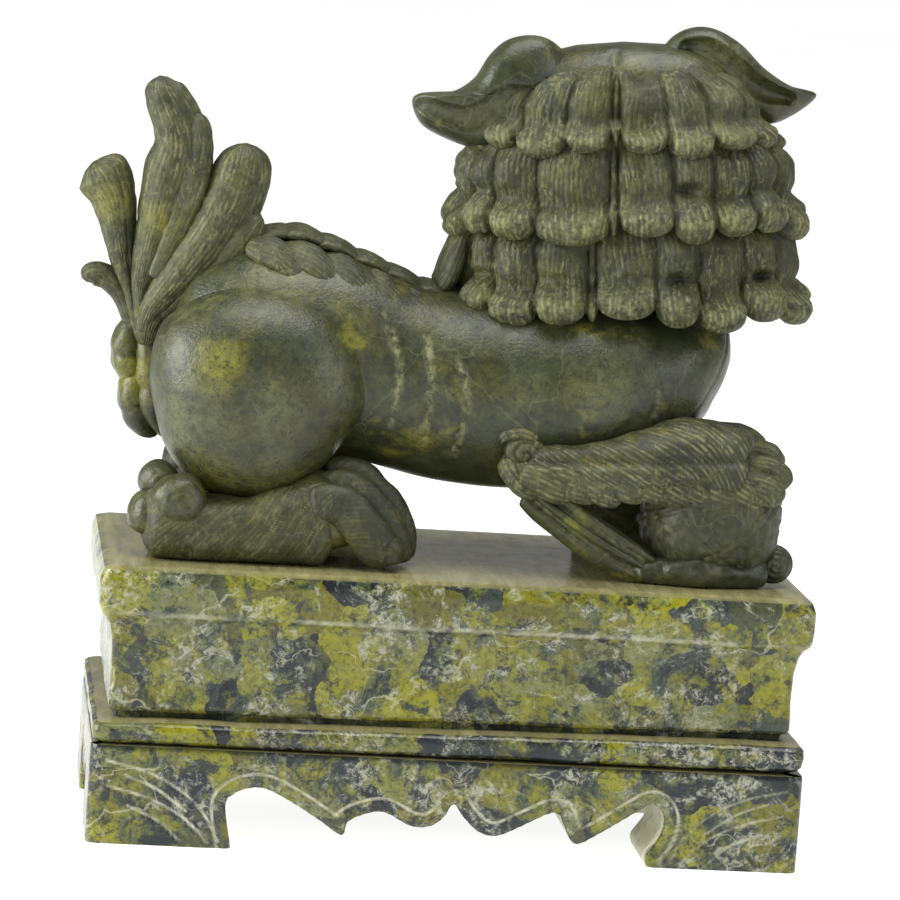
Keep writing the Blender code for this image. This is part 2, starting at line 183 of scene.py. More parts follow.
class Form:
    """A closed form: rings of points, how far along and round it each is, and its grooves' dust and painted
    shading.
    """
    x = property(lambda self: self.rings[..., 0])
    y = property(lambda self: self.rings[..., 1])
    z = property(lambda self: self.rings[..., 2])

    def __init__(self, rings, along=0, round_share=0, girth=1):
        self.rings, self.along, self.round_share, self.girth = rings, along, round_share, girth
        self.dust_and_shading = np.zeros(rings.shape[:2])
        self.body = np.ones(rings.shape[:2])
        self.matte = 0.0  # how far the tool has taken the polish off

    def outward(self):
        lengthwise = np.gradient(self.rings, axis=0)
        crosswise = np.roll(self.rings, -1, 1) - np.roll(self.rings, 1, 1)
        normals = unit(np.cross(crosswise, lengthwise))
        from_middle = self.rings - self.rings.mean(1, keepdims=True)
        return normals * (1 if (normals * from_middle).sum() > 0 else -1)

    def cut(self, depth, dust_and_shading=0.0):
        """Cuts depth millimetres into the form, and marks the cut: pale dust where the value is positive,
        painted shade where it is negative.
        """
        self.rings = self.rings - self.outward() * (depth * self.body)[..., None]
        self.dust_and_shading = np.clip(self.dust_and_shading + dust_and_shading * self.body, -1, 1)
        return self

    def stand_on(self, height):
        """Presses the form flat where it would sink below a height."""
        self.rings[..., 2] = np.maximum(self.z, height)


def sweep(stations, side, step=0.6, around=48, squareness=2.0, blunt=(None, None)):
    """Oval rings along a path. side is the way that a station's width is measured, and blunt gives how long
    its rounded start and end are."""
    knots = np.asarray(stations, float)
    length = np.linalg.norm(np.diff(knots[:, :3], axis=0), axis=1).sum()
    path, walked = smooth_path(stations, max(int(length / step), 8))
    centres, wide, high = path[:, :3], np.maximum(path[:, 3], 0.05), np.maximum(path[:, 4], 0.05)
    forward = unit(np.gradient(centres, axis=0))
    across = unit(np.asarray(side, float) - forward * (forward @ np.asarray(side, float))[:, None])
    upright = np.cross(forward, across)
    x, y, girth = oval(wide.max(), high.max(), around, squareness)
    closing = np.ones(len(walked))
    for distance, tip in ((walked, blunt[0]), (walked[-1] - walked, blunt[1])):
        tip = min(wide.mean(), high.mean()) if tip is None else tip
        closing *= np.sqrt(np.clip(1 - np.clip(1 - distance / max(tip, 1e-6), 0, 1) ** 2, 0.0004, 1))
    rings = (centres[:, None] + across[:, None] * ((wide * closing)[:, None] * x)[..., None]
             + upright[:, None] * ((high * closing)[:, None] * y)[..., None])
    form = Form(rings, walked[:, None] + 0 * x, np.arange(around) / around + 0 * walked[:, None], girth)
    form.body = np.clip(closing * 1.6 - 0.3, 0, 1)[:, None] + 0 * x
    return form


test = sweep([(0, 0, 0, 2, 1), (10, 0, 0, 3, 1.5)], Y_AXIS)
print("a test sweep has", test.rings.shape[0], "rings of", test.rings.shape[1], "points")

# %% [markdown]
# ## Pebbles
#
# The haunches, the ends of curls and the eyeballs are low domes with a clear outline. A pebble is an
# outline in a plane, swollen on both sides. Its rings run from the middle of one side, over the rim, to the
# other side.


# %% Pebbles
def smooth_outline(points, count):
    """A closed smooth curve through the points."""
    knots = np.asarray(points, float)
    closed = np.concatenate([knots[-1:], knots, knots[:2]])
    spans = smooth_spans(closed, np.linspace(0, 1, 16, endpoint=False)[:, None])
    fine = np.vstack(spans + [knots[:1]])
    walked = walk(fine)
    return places_at(fine, walked, np.linspace(0, walked[-1], count, endpoint=False)), walked[-1]


def pebble(outline, plane, swell_out, swell_in, facing=-1, step=0.8, rim=2.2):
    """A dome over an outline of (x, z) points in the plane Y = plane, swollen swell_out towards facing."""
    girth = smooth_outline(outline, 8)[1]
    edge, _ = smooth_outline(outline, max(int(girth / step), 16))
    middle = edge.mean(0)
    half_rows = max(int(np.linalg.norm(edge - middle, axis=1).max() / step * 1.4), 6)
    turn = np.linspace(0.02, np.pi - 0.02, 2 * half_rows)
    reach = np.sin(turn) ** (2 / rim)
    lift = np.where(np.cos(turn) > 0, swell_out, swell_in) * np.cos(turn) * facing
    flat = middle + (edge - middle)[None] * reach[:, None, None]
    rings = np.stack([flat[..., 0], plane + lift[:, None] + 0 * flat[..., 0], flat[..., 1]], -1)
    along = np.cumsum(np.full(len(turn), step))[:, None] + 0 * flat[..., 0]
    return Form(rings, along, np.arange(len(edge)) / len(edge) + 0 * along, girth)


def ball(centre, radii, step=0.7):
    """A round or oval boss."""
    rows = max(int(np.pi * max(radii) / step), 10)
    columns = max(int(2 * np.pi * max(radii) / step), 16)
    turn, angle = np.linspace(0.02, np.pi - 0.02, rows)[:, None], np.arange(columns) / columns * 2 * np.pi
    rings = np.stack([np.sin(turn) * np.cos(angle), np.sin(turn) * np.sin(angle), np.cos(turn) + 0 * angle],
                     -1)
    return Form(rings * radii + centre, turn * max(radii) + 0 * angle, angle / (2 * np.pi) + 0 * turn,
                2 * np.pi * max(radii))


print("a test pebble's girth in mm:", round(pebble([(0, 0), (5, 4), (9, 0), (5, -4)], 0, 2, 2).girth, 1))

# %% [markdown]
# ## The scoring tool
#
# The hair of the mane, tail and paws is scored with a small burr, about one groove to each 1.2 mm. The
# grooves wander, fade and start again, and pale dust stays in the deepest of them. The same function makes
# them everywhere: phase counts the grooves, and along is the distance along a groove.

# %% Scored grooves
GROOVE_PITCH = 1.2
GROOVE_DEPTH = 0.27


def scored(phase, along, seed, keep=0.75):
    """How deep the tool went at each place, from 0 to 1."""
    phase = phase + 0.22 * line_noise(along, np.zeros_like(phase) + seed, 7, seed)
    groove = np.round(phase)
    wander = 0.18 * line_noise(along, groove, 4, seed + 1)
    profile = tent(phase + wander, groove, 0.36)
    pressure = np.clip(keep + 0.75 * line_noise(along, groove, 3.2, seed + 2), 0.05, 1)
    return profile ** 1.3 * pressure


def score_lengthwise(form, seed, depth=GROOVE_DEPTH, pitch=GROOVE_PITCH, keep=0.75):
    """Scores a form along its length."""
    count = max(round(form.girth / pitch), 5)
    marks = scored(form.round_share * count, form.along, seed, keep)
    return form.cut(depth * marks, 0.9 * marks)


def score_across(form, seed, slant=0.0, depth=GROOVE_DEPTH, pitch=GROOVE_PITCH, keep=0.7):
    """Scores a form round its girth, or aslant."""
    form.matte = 0.7
    marks = scored((form.along + slant * form.round_share * form.girth) / pitch,
                   form.round_share * form.girth, seed, keep)
    return form.cut(depth * marks, 0.9 * marks)


def hair(stations, side, seed, step=0.55, squareness=2.0, depth=GROOVE_DEPTH, blunt=(None, None),
         keep=0.75):
    """A swept tuft that is scored along its length, with points enough for each groove."""
    knots = np.asarray(stations, float)
    girth = oval(knots[:, 3].max(), knots[:, 4].max(), 48, squareness)[2]
    around = max(round(girth / GROOVE_PITCH), 5) * 4
    tuft = score_lengthwise(sweep(stations, side, step, around, squareness, blunt), seed, depth, keep=keep)
    tuft.matte = 0.8
    return tuft.cut(0.16 * unevenness(tuft.rings, 1.9, seed + 5))


print("grooves on a tuft 10 mm wide:", round(oval(5, 2, 48, 2)[2] / GROOVE_PITCH))

# %% [markdown]
# ## From forms to pieces
#
# A piece is a set of forms that run into each other, as they do in one stone. Each piece stands for plain
# solids of the engineering model and rides on the part's one body. Two mesh attributes carry the marks. The
# first is positive where pale powder lies and where light is painted on, and negative where shade is
# painted into grooves, seams, pits and shaded parts. The second, "matte", says how far the polish is gone.


# %% Pieces
SHARP_EDGE = 38  # degrees; the plinth's edges are sharper than this, and the lion has none
made = {}


def carve_piece(name, forms, nodes, material_slot="lion_stone"):
    """One object from a list of forms, in place of the plain solids called nodes."""
    points, dust_and_shading, matte, quads, caps, start = [], [], [], [], [], 0
    for form in forms:
        rows, columns = form.rings.shape[:2]
        points.append(form.rings.reshape(-1, 3))
        dust_and_shading.append(form.dust_and_shading.reshape(-1))
        matte.append(np.full(rows * columns, form.matte))
        row, column = np.arange(rows - 1)[:, None] * columns, np.arange(columns)
        after = (column + 1) % columns
        quads.append(start + np.stack([row + column, row + after, row + columns + after,
                                       row + columns + column], -1).reshape(-1, 4))
        caps.append(list(range(start, start + columns))[::-1])
        caps.append(list(range(start + (rows - 1) * columns, start + rows * columns)))
        start += rows * columns
    mesh = bpy.data.meshes.new(name)
    mesh.from_pydata(in_metres(np.vstack(points)).tolist(), [], np.vstack(quads).tolist() + caps)
    # this attribute holds pale powder and painted light above zero, and painted shade below zero
    mesh.attributes.new("dust_and_shading", "FLOAT", "POINT").data.foreach_set("value", np.concatenate(dust_and_shading))
    mesh.attributes.new("matte", "FLOAT", "POINT").data.foreach_set("value", np.concatenate(matte))
    mesh.shade_smooth()
    if material_slot == "plinth_stone":
        mesh.set_sharp_from_angle(angle=math.radians(SHARP_EDGE))
    piece = bpy.data.objects.new(name, mesh)
    bpy.context.scene.collection.objects.link(piece)
    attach(piece, "root")
    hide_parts(*nodes)
    made[name] = piece
    print(f"{name}: {len(forms)} forms, {len(mesh.vertices)} points")


# %% [markdown]
# ## Torso
#
# The trunk is one long polished swelling: deep at the rump, hollow in the back, full at the chest. Three
# ribs are roughed into each flank with a coarse tool, which left them white and ragged, and a fine line
# follows the front of the chest. The trunk is a sweep along X, and the cuts are measured by how far each
# point is from the rib's own line.

# %% Torso
TORSO = [(-67, 0, 107, 8, 9), (-61, 0, 107, 15, 16.5), (-48, 0, 107, 20.5, 23), (-32, 0, 106.5, 21.5, 23),
         (-15, 0, 102.5, 21, 21.5), (0, 0, 100, 21.5, 22), (16, 0, 100, 22.5, 22.5),
         (32, 0, 102.3, 23, 21.6), (43, 0, 106, 21, 17.6), (50.5, 0, 110.6, 17, 13),
         (56, 0, 114.4, 11.5, 8.6), (60, 0, 117, 6, 4.6)]
# Each rough line: its height and where it is along X there, from the bottom up, and its half width.
RIBS = [((91, 96, 100, 106, 112, 118), (-16.6, -15.7, -15.4, -15.4, -17, -20), 1.35),
        ((88, 94, 99, 104, 109, 114), (-8.6, -8.5, -8.3, -8.2, -9, -9.7), 1.3),
        ((85, 90, 95, 100, 105, 109), (-1.8, -0.9, -0.2, -0.1, -1, -3.4), 1.2),
        ((97, 99, 101, 103, 105, 106), (41.6, 42, 42.3, 42.2, 41.8, 41.4), 1.1)]


def rough_line(form, heights, places, half_width):
    """A ragged cut that follows a line up both flanks."""
    ragged = 0.5 * unevenness(form.rings, 1.6, 11) + 0.5 * unevenness(form.rings, 0.7, 12)
    inside = np.clip((form.z - heights[0]) / 2, 0, 1) * np.clip((heights[-1] - form.z) / 2, 0, 1)
    mark = tent(form.x + 0.9 * ragged, np.interp(form.z, heights, places),
                half_width) * inside * (abs(form.y) > 8)
    form.cut(0.6 * mark * (1 + ragged), np.clip(mark * (0.8 + 1.6 * ragged), 0, 1))


torso = sweep(TORSO, Y_AXIS, step=0.5, around=150, blunt=(7, 4))
for heights, places, half_width in RIBS:
    rough_line(torso, heights, places, half_width)
front = np.interp(torso.z, (97, 101, 106, 111, 116, 121), (50.5, 53.2, 56.2, 58.3, 59.4, 59.8))
chest_line = tent(torso.x, front, 0.5) * (torso.z < 121) * (torso.z > 96)
torso.cut(0.3 * chest_line, 0.35 * chest_line)
torso.cut(-0.22 * unevenness(torso.rings, 14, 5))
carve_piece("trunk", [torso], ["torso"])

# %% [markdown]
# ## Haunches
#
# Each haunch is a big polished egg, set on the flank with a clear crease round its top and back. A pebble
# with a full rim gives that crease where it meets the trunk.

# %% Haunches
HAUNCH = [(-20.4, 98), (-22.6, 109), (-28.6, 115.2), (-36, 119), (-46, 121), (-55, 119.8), (-63, 116),
          (-68.4, 110.6), (-70, 101), (-67.6, 90), (-64.4, 82.5), (-58, 76), (-48, 73), (-38, 74.4),
          (-29.6, 81), (-23.7, 89.6)]
for side, name in ((-1, "right"), (1, "left")):
    egg = pebble(HAUNCH, side * 13, 16.4, 8, facing=side, step=0.9, rim=2.5)
    egg.cut(-0.3 * unevenness(egg.rings, 12, 21 + side))
    knee_hollow = np.exp(-((egg.x + 25) ** 2 + (egg.z - 84) ** 2) / 60)
    egg.cut(1.2 * knee_hollow)
    carve_piece(f"{name}_thigh", [egg], [f"{name}_haunch"])

# %% [markdown]
# ## Hind feet
#
# A hind foot is a long low heel that rises to four toes. Fur curls off the heel in round bosses, and short
# oblique strokes cover the sides. The toes are separate sweeps side by side, with soft rounded ends.

# %% Hind feet
FEET_REST = PLINTH_TOP + 0.3  # the thin bond under the feet


def hind_foot(outer, shift, reach):
    """One hind foot. outer is its outer side's sign, shift moves it along X, reach scales its length."""
    def at(x, y, z, wide, high):
        return (-68 + (x + 68) * reach + shift, outer * y, z, wide, high)
    sole = sweep([at(-70.4, 19, 68.4, 7, 7.4), at(-66, 19, 68.6, 9.8, 8), at(-58, 19, 67.8, 10, 7.4),
                  at(-46, 19, 68, 10, 7.6), at(-38, 19, 69.4, 10, 9), at(-31.4, 19, 70.6, 10, 9.8),
                  at(-25.5, 19, 70.4, 8.6, 8.6)], Y_AXIS, 0.38, 130, 3.0, (3, 5))
    score_across(sole, 31, slant=0.75, pitch=1.35, keep=0.45)
    instep = sweep([at(-40, 19, 71, 9, 8), at(-32, 19, 72.6, 9.4, 9), at(-25, 19, 70.8, 8.6, 7.4),
                    at(-20, 19, 68, 7.6, 5)], Y_AXIS, 0.4, 100, 2.6)
    forms = [sole, instep]
    for toe in range(4):
        y = 26.2 - 4.9 * toe
        lead = (-1.2, 1.2, 2.5, 1.6)[toe]
        top = (79.4, 82, 84.2, 82.4)[toe]
        toe_form = sweep([at(-33 + lead, y, top - 5, 3, 4.2), at(-26.4 + lead, y, top - 4.4, 3.4, 4.8),
                          at(-20.6 + lead, y, top - 8.6, 3.4, 4.8),
                          at(-16.6 + lead, y, top - 13.6, 3.3, 4.6), at(-15 + lead, y, 65.4, 3.2, 4),
                          at(-14.6 + lead, y, 62.2, 3, 3)], Y_AXIS, 0.36, 72, 2.2, (2, 1))
        # painted shade on the toes
        toe_form.dust_and_shading -= 0.3
        forms.append(score_across(toe_form, 34 + toe, slant=0.9, depth=0.22, pitch=1.3, keep=0.5))
    for x, y, z, size in ((-62.2, 25, 74.2, 6.3), (-67.6, 21, 70.6, 5.6), (-66.4, 18, 77.4, 4.6)):
        place = at(x, y, z, 0, 0)[:3]
        boss = ball(place, (size, 5.4, size * 0.96), 0.42)
        across, above = boss.x - place[0], boss.z - place[2]
        swirl, spread = np.arctan2(above, across), np.hypot(across, above)
        marks = scored((spread + swirl * 0.35) / 1.5, swirl * 4, 33, 0.3)
        forms.append(boss.cut(0.2 * marks + 0.25 * unevenness(boss.rings, 3, 39), 0.4 * marks))
    for form in forms:
        # painted shade over the foot's unscored surface
        form.cut(0.45 * unevenness(form.rings, 4, 38), -0.45 * (form.dust_and_shading < 0.1))
        form.stand_on(FEET_REST)
    return forms


carve_piece("right_hind_paw", hind_foot(-1, 0, 1), ["right_hind_foot"])
carve_piece("left_hind_paw", hind_foot(1, 7, 0.78), ["left_hind_foot"])

# %% [markdown]
# ## Tail
#
# The tail stands up behind the rump as a bundle of plumes. They all start from one root low on the rump,
# fan out, and end in round hooked tips. Deep flutes divide each plume into strands, and the scoring runs
# along the strands, so the lines close up towards the root.


# %% Tail plumes
def plume(stations, seed, strands=3, flute=0.45, blunt=3.2):
    """A fluted plume, scored from root to tip."""
    form = hair(stations, Y_AXIS, seed, 0.45, 2.0, 0.17, (1, blunt), 0.5)
    flutes = np.abs(np.sin(np.pi * strands * (form.round_share + 0.07))) ** 0.6
    swell = np.clip(form.along / form.along.max() * 2.2, 0, 1)
    # painted shade in the flutes
    return form.cut(flute * (1 - flutes) * swell, -0.6 * (1 - flutes) ** 2)


TALL = [(-71.6, 0, 108, 2.6, 1.6), (-72.3, 0, 115.5, 3, 2.2), (-71.4, 0, 122, 3.8, 3.6),
        (-70, -0.6, 129.5, 4.8, 4.7), (-68, -1, 137, 5.6, 6.3), (-66.2, -1, 144, 6, 7.4),
        (-65.4, -1, 150, 5.6, 6.4), (-66.4, -1, 154.5, 5.2, 5.8), (-68.4, -1, 158.6, 4.8, 5.3),
        (-70.3, -1, 162, 4, 4.4), (-71, -1, 164.9, 2.6, 3)]
TALL_SPLIT = [(-69.5, -3, 120, 2, 2), (-66, -4, 130, 2.6, 3), (-63.2, -4.4, 139, 3, 3.6),
              (-61.6, -4, 147, 3, 3.4), (-61.6, -3.6, 153, 2.6, 2.8), (-63, -3, 157.4, 1.8, 2)]
FRONT = [(-71.4, -1, 107.5, 2.8, 2), (-69.4, -1.5, 113, 4, 3.4), (-64.4, -2.4, 119.6, 5, 5.6),
         (-59.2, -3, 127, 5.6, 6.6), (-55.2, -3, 134.4, 6, 6.9), (-52.6, -3, 141, 6, 6.9),
         (-51.4, -3, 146.6, 5.4, 6.4), (-51, -3, 151.4, 3.4, 4)]
FRONT_SPLIT = [(-68, -3, 112, 2, 2), (-62.4, -4, 117.4, 3, 3.2), (-56, -4.6, 123.6, 3.6, 4.2),
               (-51.4, -5, 129.6, 3.6, 4.2), (-48.6, -5, 134, 3, 3.4), (-47, -5, 136, 2, 2.2)]
REAR = [(-72.4, 1, 108, 2.4, 1.4), (-74.6, 1.6, 116, 3, 1.8), (-76.6, 2, 123, 4, 3),
        (-78.2, 2, 131, 5, 4.2), (-79.8, 2, 137.4, 5.4, 5.4), (-82.2, 2, 141.8, 5, 6.4),
        (-84.6, 2, 144.6, 3.6, 4.8)]
LOW_CURL = [(-72.6, 3, 106, 2.6, 1.6), (-74.4, 3, 111, 3, 2), (-76.4, 3, 115.6, 3.2, 2.4),
            (-79.4, 3, 119, 3.4, 2.8), (-83, 3, 119.8, 3.2, 2.7), (-85.4, 3, 118.6, 2, 1.8)]
carve_piece("tail_plume_upright", [plume(TALL, 41), plume(TALL_SPLIT, 42, 2, 0.3, 2)], ["tail_plume_tall"])
carve_piece("tail_plume_inner", [plume(FRONT, 43), plume(FRONT_SPLIT, 44, 2, 0.3, 2)], ["tail_plume_front"])
carve_piece("tail_plume_outer", [plume(REAR, 45, 3, 0.7)], ["tail_plume_rear"])
carve_piece("tail_hook", [plume(LOW_CURL, 46, 2, 0.4, 2)], ["tail_curl_low"])

# %% Tail root and the tufts under it
ROOT = [(-70.4, 0, 104, 4, 3), (-69.6, 0, 110, 4.8, 4), (-66, 0, 116, 5, 6), (-60.6, 0, 120.6, 5.2, 7),
        (-54.5, 0, 124, 5.2, 6.4), (-49, 0, 126, 4, 4)]
carve_piece("tail_base", [hair(ROOT, Y_AXIS, 47)], ["tail_root"])
tufts = [sweep([(-72, 4, 110.5, 3, 2), (-74.2, 4, 106.4, 5, 3.4), (-74, 4, 101, 5.4, 3.9),
                (-71, 4, 96.6, 4, 3)], Y_AXIS, 0.4, 60, 2.3, (1, 3)),
         sweep([(-70.6, 4, 100, 3.5, 2.6), (-72.2, 4, 95, 5, 3.7), (-70.8, 4, 89.4, 5, 4.2),
                (-66.8, 4, 83.8, 3, 2.4)], Y_AXIS, 0.4, 60, 2.3, (1, 3)),
         sweep([(-70, 3, 112, 4, 3), (-69, 3, 100, 6, 4), (-67, 3, 90, 6, 3.6), (-62, 3, 84, 2, 2)], Y_AXIS,
               0.6, 40, 2.3)]
for form in tufts:
    dimple = bell(form.along, form.along.max() * 0.55, 1.1)
    # painted shade in each dimple
    form.cut(0.5 * dimple + 0.25 * unevenness(form.rings, 3, 48), -0.5 * dimple)
carve_piece("tail_tufts", tufts, ["tail_tuft"])

# %% [markdown]
# ## Mane along the spine
#
# From the tail to the neck, flat tufts overlap like roof tiles along the ridge of the back. Under them,
# wavy locks lie against each flank.

# %% Spine mane
forms = []
RIDGE = [(-48, 131.2), (-41, 133.2), (-33.5, 131.4), (-26, 128.4), (-18.5, 125.6), (-11.5, 122.6),
         (-5.6, 121.4)]
for step, (x, z) in enumerate(RIDGE[:-1]):
    x2, z2 = RIDGE[step + 1]
    forms.append(hair([(x - 2, 0, z - 2.6, 5.4, 1.6), (x + 1, 0, z - 1.2, 7.6, 1.9),
                       ((x + x2) / 2 + 1, 0, (z + z2) / 2 - 0.5, 8, 1.9), (x2 + 1.4, 0, z2 - 1.4, 6.4, 1.6),
                       (x2 + 3, 0, z2 - 2.4, 4, 0.9)], Y_AXIS, 50 + step, 0.4, 2.3, 0.2))
forms.append(hair([(-8, 0, 121, 5, 2), (-5.4, 0, 122.4, 7, 2.6), (-3.4, 0, 127.4, 7, 3),
                   (-1.6, 0, 133, 5, 2.6), (0, 0, 137, 3, 1.6)], Y_AXIS, 57, 0.5))
for side in (-1, 1):
    for lock, (x, z) in enumerate(((-50, 129.6), (-42.6, 129), (-34.8, 126.8), (-27, 123.8), (-19.4, 120.6),
                                   (-12.4, 118))):
        wave = [(x, side * 7.4, z, 2.2, 1), (x + 3.4, side * 9, z - 0.8, 3.8, 1.8),
                (x + 7, side * 10.6, z - 2, 4.2, 1.9), (x + 10.6, side * 12.2, z - 4.8, 3.6, 1.7),
                (x + 13.4, side * 13, z - 6.4, 2, 1), (x + 16, side * 13.2, z - 6.8, 0.8, 0.6)]
        forms.append(hair(wave, (0, side * 0.75, -0.65), 60 + lock, 0.55, 2.2, 0.22))
        lower = [(x + 4, side * 12, z - 4.4, 1.6, 0.9), (x + 7.4, side * 13.6, z - 6.6, 2.4, 1.2),
                 (x + 11, side * 14.8, z - 8.8, 2.2, 1.1), (x + 14.4, side * 15.2, z - 9.8, 1, 0.6)]
        forms.append(hair(lower, (0, side * 0.7, -0.7), 160 + lock, 0.55, 2.2, 0.2))
for form in forms:
    form.dust_and_shading = np.clip(form.dust_and_shading - 0.35 - 0.2 * unevenness(form.rings, 5, 59), -1, 1)
carve_piece("back_mane", forms, ["spine_mane"])

# %% [markdown]
# ## Forelegs and ribbon
#
# The raised foreleg lies along the top of the ball. Its polished upper side is scored with long oblique
# strokes, a fringe of fur hangs along its lower edge, and a scroll of hair turns at the elbow. The other
# foreleg stands behind the ball. A broad ribbon with two channels comes down from under the leg to the
# plinth.

# %% Raised foreleg
def spiral(form, centre, pitch, width, hand):
    """A spiral groove round a boss's centre, as seen from the side; hand is the way it turns."""
    across, above = form.x - centre[0], form.z - centre[2]
    turns = np.hypot(across, above) / pitch + hand * np.arctan2(above, across) / (2 * np.pi)
    return tent(turns % 1, 0.5, width)


ARM = [(9, -17, 86.5, 4, 3.6), (14, -19, 84.6, 6, 5), (22, -20.6, 84.6, 7.4, 6), (32, -21.6, 85.6, 8, 6.6),
       (42, -22, 87.6, 8.6, 8), (50, -21.6, 89.4, 9.4, 8.6), (57, -21, 89, 10, 8.4),
       (63, -20.5, 87.6, 10, 8)]
arm = sweep(ARM, Y_AXIS, 0.3, 170, 2.3, (4, 3))
score_across(arm, 71, slant=-0.9, depth=0.2, pitch=1.5, keep=0.5)
valley = bell(arm.z - 0.06 * (arm.x - 30), 88.4, 1.5) * (arm.y < -20)
# painted shade in the valley; the unscored surface of the arm is darkened as well
arm.cut(1.2 * valley + 0.5 * unevenness(arm.rings, 4, 87), -0.5 * valley - 0.45 * (arm.dust_and_shading < 0.1))
forms = [arm]
for toe, (x, y, z) in enumerate(((70, -26, 82.4), (72.2, -21.4, 85.4), (71, -16.8, 88.6),
                                 (67.4, -12.4, 91))):
    forms.append(hair([(x - 19, y + 1, z + 1.6, 2.6, 3), (x - 11, y + 0.4, z + 2, 3, 3.4),
                       (x - 5, y, z + 1.4, 3.2, 3.9), (x - 2, y, z - 0.2, 3.2, 4),
                       (x - 0.6, y, z - 2.6, 2.9, 2.8)], Y_AXIS, 66 + toe, 0.35, 2.1, 0.16, (2, 2.6), 0.5))
for tuft in range(9):
    x = 17 + 5.4 * tuft
    top, drop = 83.4 - 0.9 * (tuft < 3), 0.25 * math.sin(tuft * 2.1)
    forms.append(hair([(x - 5, -25.6, top + 1.8, 2.4, 1.4), (x - 0.6, -27.4, top + 0.6, 3.4, 1.8),
                       (x + 3.8, -27.6, top - 1.4 + drop, 3, 1.8),
                       (x + 7.4, -26.6, top - 2.8 + drop, 1.6, 1)], Z_AXIS, 72 + tuft, 0.4, 2.2, 0.24))
CURL = (13.4, -20.6, 88)
curl = ball(CURL, (4.8, 3.4, 4), 0.3)
coil = spiral(curl, CURL, 2.4, 0.22, 1)
# painted shade in the spiral groove
curl.cut(0.7 * coil + 0.3 * unevenness(curl.rings, 3, 85), -0.5 * coil)
curl.matte = 0.7
forms.append(curl)
forms.append(hair([(16.4, -20.6, 91, 1.6, 1.4), (12.6, -20.6, 92.4, 2.2, 1.7), (9.2, -20, 91.6, 2, 1.7),
                   (7.8, -19.6, 89.6, 1, 1)], Y_AXIS, 84, 0.3))
forms.append(hair([(9, -21, 86.6, 2, 2), (10.6, -23.4, 83.4, 2.2, 2.2), (13.4, -24.8, 80.6, 2, 2),
                   (17, -25.4, 78.8, 1.1, 1.2)], (0.7, 0, 0.7), 86, 0.3))
carve_piece("raised_foreleg", forms, ["right_foreleg"])

# %% Standing foreleg
LEG = [(41.5, 14, 99, 10.5, 7.5), (41, 16, 90, 10, 7.5), (40, 18, 80, 10, 7.2), (40.6, 18.5, 72, 10.2, 7.6),
       (42, 18.5, 67, 10.4, 8.2), (42, 18.5, 61.6, 10.6, 8.4)]
leg = sweep(LEG, X_AXIS, 0.4, 120, 2.3, (2, 0.2))
score_across(leg, 91, slant=0.8, depth=0.22, pitch=1.5, keep=0.4)
forms = [leg]
for toe in range(4):
    y = 11.4 + 4.8 * toe
    lead = (0, 1.4, 1.4, 0)[toe]
    forms.append(sweep([(44, y, 70, 2.8, 3.4), (50 + lead, y, 69.4, 3, 3.8), (55.4 + lead, y, 66, 2.9, 3.8),
                        (58 + lead, y, 62.8, 2.4, 1.8)], Y_AXIS, 0.4, 44, 2.2))
    forms.append(sweep([(56 + lead, y, 67, 1.1, 1.2), (59 + lead, y, 65, 1.1, 1.3),
                        (60.2 + lead, y, 62.2, 0.5, 0.7)], Y_AXIS, 0.3, 24))
for form in forms:
    form.stand_on(FEET_REST)
carve_piece("standing_foreleg", forms, ["left_foreleg"])

# %% Ribbon and knot
STRAP = [(14.6, -22.4, 80.6, 4, 2), (18.6, -23, 77.8, 4.8, 2.5), (24, -23.4, 74, 4.8, 2.6),
         (30, -23.6, 70, 4.8, 2.6), (36.6, -23.6, 66.4, 4.6, 2.6), (42.6, -23, 63.8, 3.6, 2.2),
         (48.6, -22.4, 62.6, 2, 1.2)]
strap = sweep(STRAP, Z_AXIS, 0.35, 110, 2.6, (1, 1))
channel = np.zeros(strap.rings.shape[:2])
for centre in (0.7, 0.85, 0.15, 0.3):
    channel = np.maximum(channel, bell(strap.round_share, centre, 0.035))
strap.cut(0.75 * channel, 0.3 * channel)
stem = sweep([(15.6, -25.2, 80, 0.8, 0.7), (22, -26, 75.6, 1, 0.9), (30, -26.2, 70.6, 1, 0.9),
              (38, -26, 66.4, 0.9, 0.8), (42, -25.4, 64.2, 0.5, 0.5)], Z_AXIS, 0.3, 24)
tail_end = sweep([(38, -22, 63.4, 3, 2.4), (46, -23, 63.4, 4.4, 3.6), (54, -23.4, 64, 5, 4.4),
                  (62, -22.6, 64, 5, 4.2), (69, -19.4, 64, 4, 3.6)], Y_AXIS, 0.4, 60, 2.1)
tail_end.cut(1.1 * unevenness(tail_end.rings, 4.5, 107) + 0.3 * unevenness(tail_end.rings, 1.8, 106), -0.55)
tail_end.stand_on(FEET_REST)
carve_piece("ribbon", [strap, stem, tail_end], ["ball_ribbon"])
KNOB = (71.4, -19, 66)
knob = ball(KNOB, (4.5, 4.5, 4.4), 0.3)
coil = spiral(knob, KNOB, 1.5, 0.28, -1) * (knob.y < -19.5)
knob.cut(0.4 * coil, 0.35 * coil)
knob.stand_on(FEET_REST)
carve_piece("ribbon_end", [knob], ["ribbon_knot"])

# %% [markdown]
# ## Brocade ball
#
# The ball under the paw is carved as a brocade ball. Double lines run round it as great circles, and petals
# lie between them. Each great circle is the set of points that are level with a plane through the middle,
# so its groove is easy to measure: the distance from that plane.

# %% Ball
BALL = np.array((57, -15, 76.4))
brocade = ball(BALL, (1, 1, 1), 0.0234)
direction = unit(brocade.rings - BALL)
